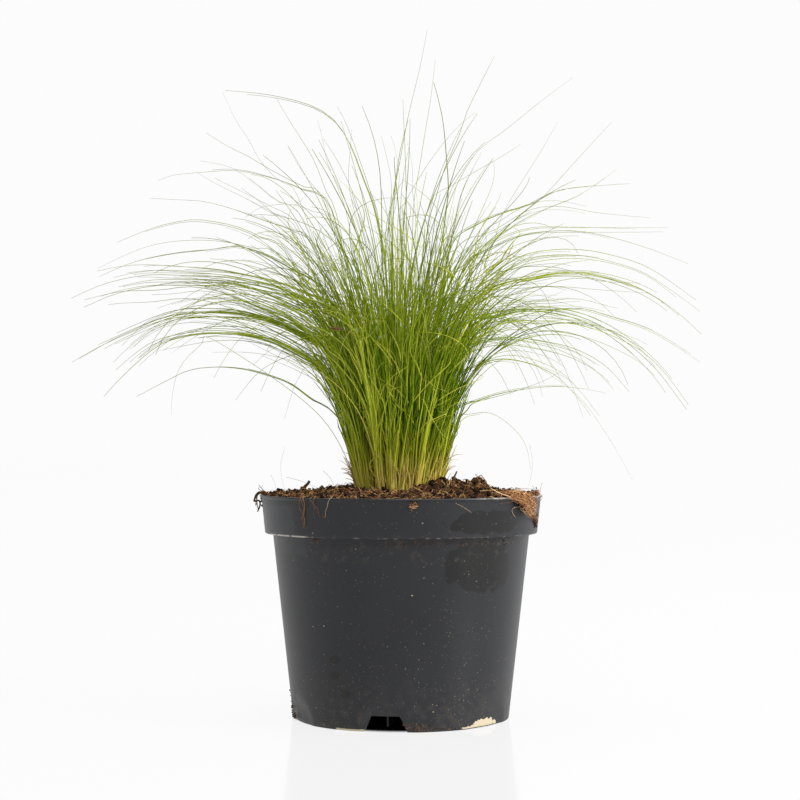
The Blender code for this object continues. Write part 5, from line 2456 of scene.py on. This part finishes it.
@dataclass
class RimBits:
    """Roots, threads, crumbs and bits of coir on the lip and the outside of the pot."""

    pot: Pot
    threads: tuple[Thread, ...] = (
        Thread(((-86, -4, 135.4), (-89, 1.6, 135.6), (-90, 4.9, 130.8), (-91, 1.8, 130.4),
                (-90, 1.6, 127.6), (-90, 3.4, 124.2)), 0.8, 0.08),
        Thread(((-84, -3, 135.6), (-87, 1.8, 134.8), (-89, 3.2, 130), (-88, 2.2, 125.6)), 0.5, 0.15),
        Thread(((-93, -4, 135.5), (-91, 2.2, 134), (-89, 3.8, 128), (-91, 4.2, 131)), 0.28, 0.05),
        Thread(((-88, -5, 135), (-90, -1.5, 137), (-90, 0.8, 140.2)), 0.3, 0.15),
        Thread(((-90, -3, 136), (-88, 1, 137.6), (-86, 0.6, 139)), 0.22, 0.1),
        Thread(((-40, -4, 135.6), (-40.6, 1.3, 134.6), (-40.4, 0.9, 130), (-41.4, 0.7, 126),
                (-41.2, 0.6, 121), (-41.8, 0.4, 117)), 0.26, 0.55),
        Thread(((-41.5, -3, 135.4), (-41.6, 1.4, 134.4), (-41.6, 0.8, 130.6), (-40.6, 0.6, 127),
                (-42.4, 0.5, 122), (-40.8, 0.4, 118)), 0.2, 0.5),
        Thread(((-43, -3, 135.4), (-42.6, 1.2, 134), (-43.4, 0.7, 129), (-42, 0.5, 125),
                (-43, 0.4, 121.6)), 0.16, 0.5),
        Thread(((-37, -3, 135.4), (-37.1, 1.3, 134), (-34.1, 0.8, 128.4), (-33.6, 0.4, 123.4)), 0.18, 0.5),
        Thread(((-36, -2, 135.4), (-35.4, 1.2, 134), (-36, 0.7, 130.5), (-34.6, 0.5, 126)), 0.14, 0.45),
        Thread(((-28, -2, 135.2), (-28.4, 1.2, 133.6), (-30.3, 0.6, 127), (-31, 0.5, 123.4)), 0.13, 0.9),
        Thread(((21.4, 0.5, 132), (24.8, 0.5, 129.4), (28.3, 0.4, 126.2)), 0.09, 0.9),
        Thread(((33.5, -1, 135.4), (34.6, 1.2, 134), (35.2, 0.6, 131.4)), 0.08, 0.3),
        Thread(((38.9, 1.4, 134), (42.1, 1.6, 130.9), (45.6, 1.6, 131.9)), 0.09, 0.3),
        Thread(((38, -1.5, 139.8), (42, 0.6, 136.6), (47, 1.6, 134.6), (56, 2, 130.8)), 0.3, 0.95),
        Thread(((56, 1.6, 131), (53.6, 1, 128.9), (50.3, 0.8, 128.3), (49.3, 0.8, 126.1),
                (51.5, 0.8, 122.8)), 0.17, 0.9),
        Thread(((61, 2.4, 128), (64.5, 2, 123.5), (66, 1.2, 119.5)), 0.14, 0.5),
        Thread(((63, 2.4, 126), (67, 1.6, 121), (69, 1, 118.6)), 0.1, 0.4),
    )
    heaps: tuple[Heap, ...] = (
        Heap(-85, 6, 5, 4, 46, 0.8, 0.5),
        Heap(-72, 4, 3, 1.5, 16, 0.5, 0.7),
        Heap(9, 3.5, 3, 1.8, 26, 0.5, 0.8),
        Heap(20, 5, 1.6, 0.8, 22, 0.4, 0.7),
        Heap(44, 7, 1.0, 0.5, 18, 0.35, 0.3),
        Heap(-39, 1.6, 110, 0.6, 12, 0.55, 0.95),
        Heap(-4, 4, 108.6, 1.4, 22, 0.32, 0.8),
        Heap(12, 3, 109.2, 1, 16, 0.32, 0.85),
        Heap(29, 4, 109, 1.2, 20, 0.32, 0.7),
        Heap(50, 3, 108.5, 2.5, 24, 0.42, 0.4),
        Heap(-31, 0.6, 123.4, 0.7, 10, 0.5, 1.0),
        Heap(72.5, 2.0, 119.6, 2.0, 40, 0.85, 0.6),
        Heap(-88, 2, 133, 2.5, 24, 0.8, 0.1),
        Heap(-76, 7, 135.6, 0.5, 60, 0.6, 0.75),
        Heap(-55, 9, 135.5, 0.5, 46, 0.55, 0.7),
        Heap(70, 2.2, 135.8, 0.9, 40, 0.9, 0.85),
    )
    knots: tuple[Knot, ...] = (
        Knot(4.5, 0.9, 130.6, 2.2, 34),
        Knot(72.0, 0.0, 136.4, 1.9, 30),
        Knot(70.0, 1.2, 121.0, 1.6, 20),
    )
    # Crumbs' least and most width and thickness, as shares of their length
    crumb_forms: tuple[Pair, Pair] = ((0.5, 1.0), (0.4, 0.9))
    # The radius of the knots' fibres, and how far they usually turn and rise along themselves, in radians
    knot_fibre: float = 0.13 * MM
    knot_turn: float = 2.6
    knot_rise: float = 0.9

    def at(self, azimuth: float | Array, off: float | Array, height: float | Array) -> Array:
        """Points off the pot's outside, from degrees and metres."""
        return on_axis(self.pot.outer_radius(height) + off, azimuth, height)

    def roots(self) -> Shape:
        """The roots and threads: smooth lines through their places, roughened by noise.

        Returns:
            The roots as one shape.
        """
        places = [[self.at(a, off * MM, height * MM) for a, off, height in t.places] for t in self.threads]
        lines = [smooth_line(points, 28) for points in places]
        return gnarled(self.threads, lines, 0.3 * MM, 2.4 * MM, 0.55, 5)

    def crumbs(self) -> Shape:
        """The heaps' crumbs, which keep off the ground.

        Returns:
            The crumbs as one shape.
        """
        rng = Seed.WALL_CRUMBS.draws()
        spots, sizes, tints = [], [], []
        for heap in self.heaps:
            azimuth = rng.normal(heap.azimuth, heap.spread, heap.count)
            height = np.abs(rng.normal(heap.height, heap.rise, heap.count)).clip(1.2 * heap.size) * MM
            spots.append(self.at(azimuth, np.where(height > self.pot.height, -1.0, 0.2) * MM, height))
            sizes.append(heap.size * MM * rng.uniform(0.3, 1.0, heap.count))
            tints.append(heap.tint * rng.uniform(0.3, 1.1, heap.count))
        centres, size = np.concatenate(spots), np.concatenate(sizes)
        form = forms(len(size), rng, *self.crumb_forms)
        return crumbs(centres, size[:, None] * form, rng, tint=np.concatenate(tints))

    def coir_knots(self) -> Shape:
        """Small knots of coir: strands that wander over a ball by even turns, kept out of the wall.

        Returns:
            The knots as one shape.
        """
        rng = Seed.COIR_KNOTS.draws()
        paths = []
        share = even(12)
        for knot in self.knots:
            column = (knot.count, 1)
            turn = rng.uniform(0.0, math.tau, column) + rng.normal(0.0, self.knot_turn, column) * share
            rise = rng.uniform(-0.8, 0.8, column) + rng.normal(0.0, self.knot_rise, column) * share
            x, y, z = np.cos(turn) * np.cos(rise), np.sin(turn) * np.cos(rise), np.sin(rise)
            ball = np.stack([x, y, z], axis=-1)
            size = knot.size * MM * rng.uniform(0.2, 1.0, (knot.count, 1, 1)) * (1.0 + 0.5 * share[:, None])
            paths.append(self.at(knot.azimuth, knot.off * MM, knot.height * MM) + ball * size)
        paths = np.concatenate(paths)
        reach = np.hypot(paths[..., 0], paths[..., 1])
        least = self.pot.outer_radius(paths[..., 2]) + 0.3 * MM
        low = paths[..., 2] < self.pot.height + 0.4 * MM
        grow = np.where(low & (reach < least), least / reach, 1.0)
        paths = paths * np.stack([grow, grow, np.ones_like(grow)], axis=-1)
        return tubes(paths, np.full((len(paths), 1), self.knot_fibre), 3, tint=rng.random((len(paths), 1)))

    def build(self) -> None:
        """Makes the roots, crumbs and bits of coir."""
        root = Fibre("root_threads", srgb(36, 24, 16), srgb(134, 92, 58), srgb(206, 178, 138)).material()
        self.roots().piece("rim_roots", root, Slot.SOIL)
        self.crumbs().piece("wall_crumbs", PeatSoil("wall_peat", by_piece=True).material(), Slot.SOIL)
        coir = Fibre("coir_bits", srgb(98, 60, 34), srgb(152, 104, 68), srgb(196, 150, 106)).material()
        self.coir_knots().piece("coir_knots", coir, Slot.COIR)


@dataclass
class SeedHusk:
    """The dry seed husk caught in the blades at the left: a slim brown grain with a bristle, in mm."""

    foot: Triple = (-41.5, -48.0, 233.0)
    grain: Triple = (7.5, 0.5, -0.6)
    bristle: Triple = (11.0, 1.0, -3.5)
    bristle_fall: Triple = (0.0, 0.0, -3.0)
    radii: Pair = (0.75, 0.12)

    def build(self) -> None:
        """Makes the husk as two tubes: the swollen grain and its bristle, which bends down."""
        share = even(16)
        grain = np.array(self.foot) * MM + np.outer(share, self.grain) * MM
        bristle = grain[-1] + np.outer(share, self.bristle) * MM
        bristle = bristle + np.outer(share**2, self.bristle_fall) * MM
        thick, thin = self.radii
        radii = np.stack([thick * MM * np.sin(math.pi * (0.06 + 0.88 * share)), thin * MM * (1.2 - share)])
        husk = Fibre("seed_husk", srgb(84, 48, 34), srgb(136, 92, 66), srgb(196, 160, 120)).material()
        tint = np.array([[0.2], [0.7]])
        tubes(np.stack([grain, bristle]), radii, 6, tint=tint).piece("seed_husk", husk, Slot.GRASS)


# The studio


def stand(
    name: str, data: bpy.types.ID, spot: Triple, turn: Sequence[float] = (0.0, 0.0, 0.0)
) -> bpy.types.Object:
    """Puts a camera, lamp or mesh into the scene.

    Args:
        name: its name.
        data: the camera, lamp or mesh.
        spot: where it stands.
        turn: its turn about the axes, in radians.

    Returns:
        The object.
    """
    made = bpy.data.objects.new(name, data)
    made.location = spot
    made.rotation_euler = turn
    bpy.context.scene.collection.objects.link(made)
    return made


@dataclass(frozen=True)
class Lamp:
    """A square soft lamp that looks at the clump's foot, with its side in metres and its power in watts."""

    name: str
    spot: Triple
    size: float
    power: float
    target: Triple = (0.0, 0.0, 0.18)

    def build(self) -> None:
        """Hangs the lamp."""
        data = bpy.data.lights.new(self.name, "AREA")
        data.size = self.size
        data.energy = self.power
        turn = (Vector(self.target) - Vector(self.spot)).to_track_quat("-Z", "Y").to_euler()
        stand(self.name, data, self.spot, turn)


@dataclass
class Studio:
    """White studio: a pale, faintly glossy floor, soft light all round and a level camera."""

    # The camera: how far it stands to the right, its tilt in degrees, its lens and sensor in mm, its reach
    aside: float = -0.6 * MM
    tilt: float = 1.09
    lens: float = 85.0
    sensor: float = 36.0
    clip: float = 80.0
    # The floor: its radius and sides, and the radius of the painted shadow under the pot, where the floor
    # doesn't glow
    floor_radius: float = 40.0
    floor_sides: int = 96
    painted_shadow_radius: float = 64.0 * MM
    # Its own light, the share of it at the axis, where half of the rest is back, and its mirror share
    glow: float = 0.957
    near_share: float = 0.9635
    far_half: float = 1.6
    gloss: float = 0.085
    # The background's brightness, and the share of full light that comes from the camera's side
    backdrop: float = 0.975
    front_light: float = 0.3
    lamps: tuple[Lamp, ...] = (
        Lamp("key", (0.1, -1.6, 1.5), 0.6, 14.0),
        Lamp("side", (1.6, -0.7, 0.9), 0.7, 32.0),
        Lamp("top", (0.1, 0.1, 2.0), 0.8, 22.0),
    )

    def camera(self) -> None:
        """A camera at the height of the clump's foot, tilted up a little."""
        data = bpy.data.cameras.new("camera")
        data.lens = self.lens
        data.sensor_width = self.sensor
        data.clip_end = self.clip
        spot = (self.aside, -CAMERA_DISTANCE, CAMERA_HEIGHT)
        turn = (math.radians(90.0 + self.tilt), 0.0, 0.0)
        bpy.context.scene.camera = stand("camera", data, spot, turn)

    def floor(self) -> None:
        """A round floor that is nearly as bright as the background, with a faint mirror image and a painted
        shadow under the pot, where its glow fades to black.
        """
        ring = on_axis(self.floor_radius, around(self.floor_sides), 0.0)
        mesh = bpy.data.meshes.new("floor")
        mesh.from_pydata(ring.tolist(), [], [list(range(self.floor_sides))])
        graph = Graph.material("studio_floor")
        x, y, _ = graph.axes()
        away = (x * x + y * y) ** 0.5
        # Painted shadow: the floor's glow fades to black from just outside the pot's foot inwards
        unshadowed_floor = away.rise(self.painted_shadow_radius - 8 * MM, self.painted_shadow_radius + 2 * MM)
        white, black, dull = (1.0, 1.0, 1.0), (0.0, 0.0, 0.0), (0.03, 0.03, 0.03, 1.0)
        lit_floor = graph.blend((self.near_share,) * 3, white, away / (away + self.far_half))
        glow_colour = graph.blend(black, lit_floor, unshadowed_floor)
        glow = graph.field("Emission", {"Color": glow_colour, "Strength": self.glow})
        matte = graph.field("BsdfDiffuse", {"Color": dull})
        gloss = graph.field("BsdfGlossy", {"Color": (*white, 1.0), "Roughness": 0.12})
        lit = graph.field("AddShader", {0: glow, 1: matte})
        both = graph.field("MixShader", {0: self.gloss, 1: lit, 2: gloss})
        mesh.materials.append(graph.ended(both))
        stand("floor", mesh, (0.0, 0.0, 0.0))

    def world(self) -> None:
        """White to the camera. As light, white behind and above and dimmer from the camera's side."""
        world = bpy.data.worlds.new("studio")
        bpy.context.scene.world = world
        graph = Graph(world)
        x, y, _ = graph.axes(graph.field("TexCoord"))
        level = (y.rise(-0.9, 0.35) * (1.0 - self.front_light) + self.front_light) * (x * 0.2 + 1.0)
        light = graph.field("Background", {"Color": graph.scaled((1.0, 1.0, 1.0), level)})
        seen = graph.field("Background", {"Color": (self.backdrop,) * 3 + (1.0,)})
        to_camera = graph.field("LightPath")
        graph.ended(graph.field("MixShader", {0: to_camera, 1: light, 2: seen}))

    def build(self) -> None:
        """Sets the camera, floor, world and lamps."""
        bpy.context.scene.view_settings.view_transform = "Standard"
        self.camera()
        self.floor()
        self.world()
        for lamp in self.lamps:
            lamp.build()


def main() -> None:
    """Builds the studio and every piece of the potted grass."""
    logging.basicConfig(level=logging.INFO, format="%(message)s")
    Studio().build()
    pot = Pot()
    soil = SoilBed(pot)
    for part in (pot, soil, CoirWad(pot), Grass(soil), RimBits(pot), SeedHusk()):
        part.build()


if __name__ == "__main__":
    main()
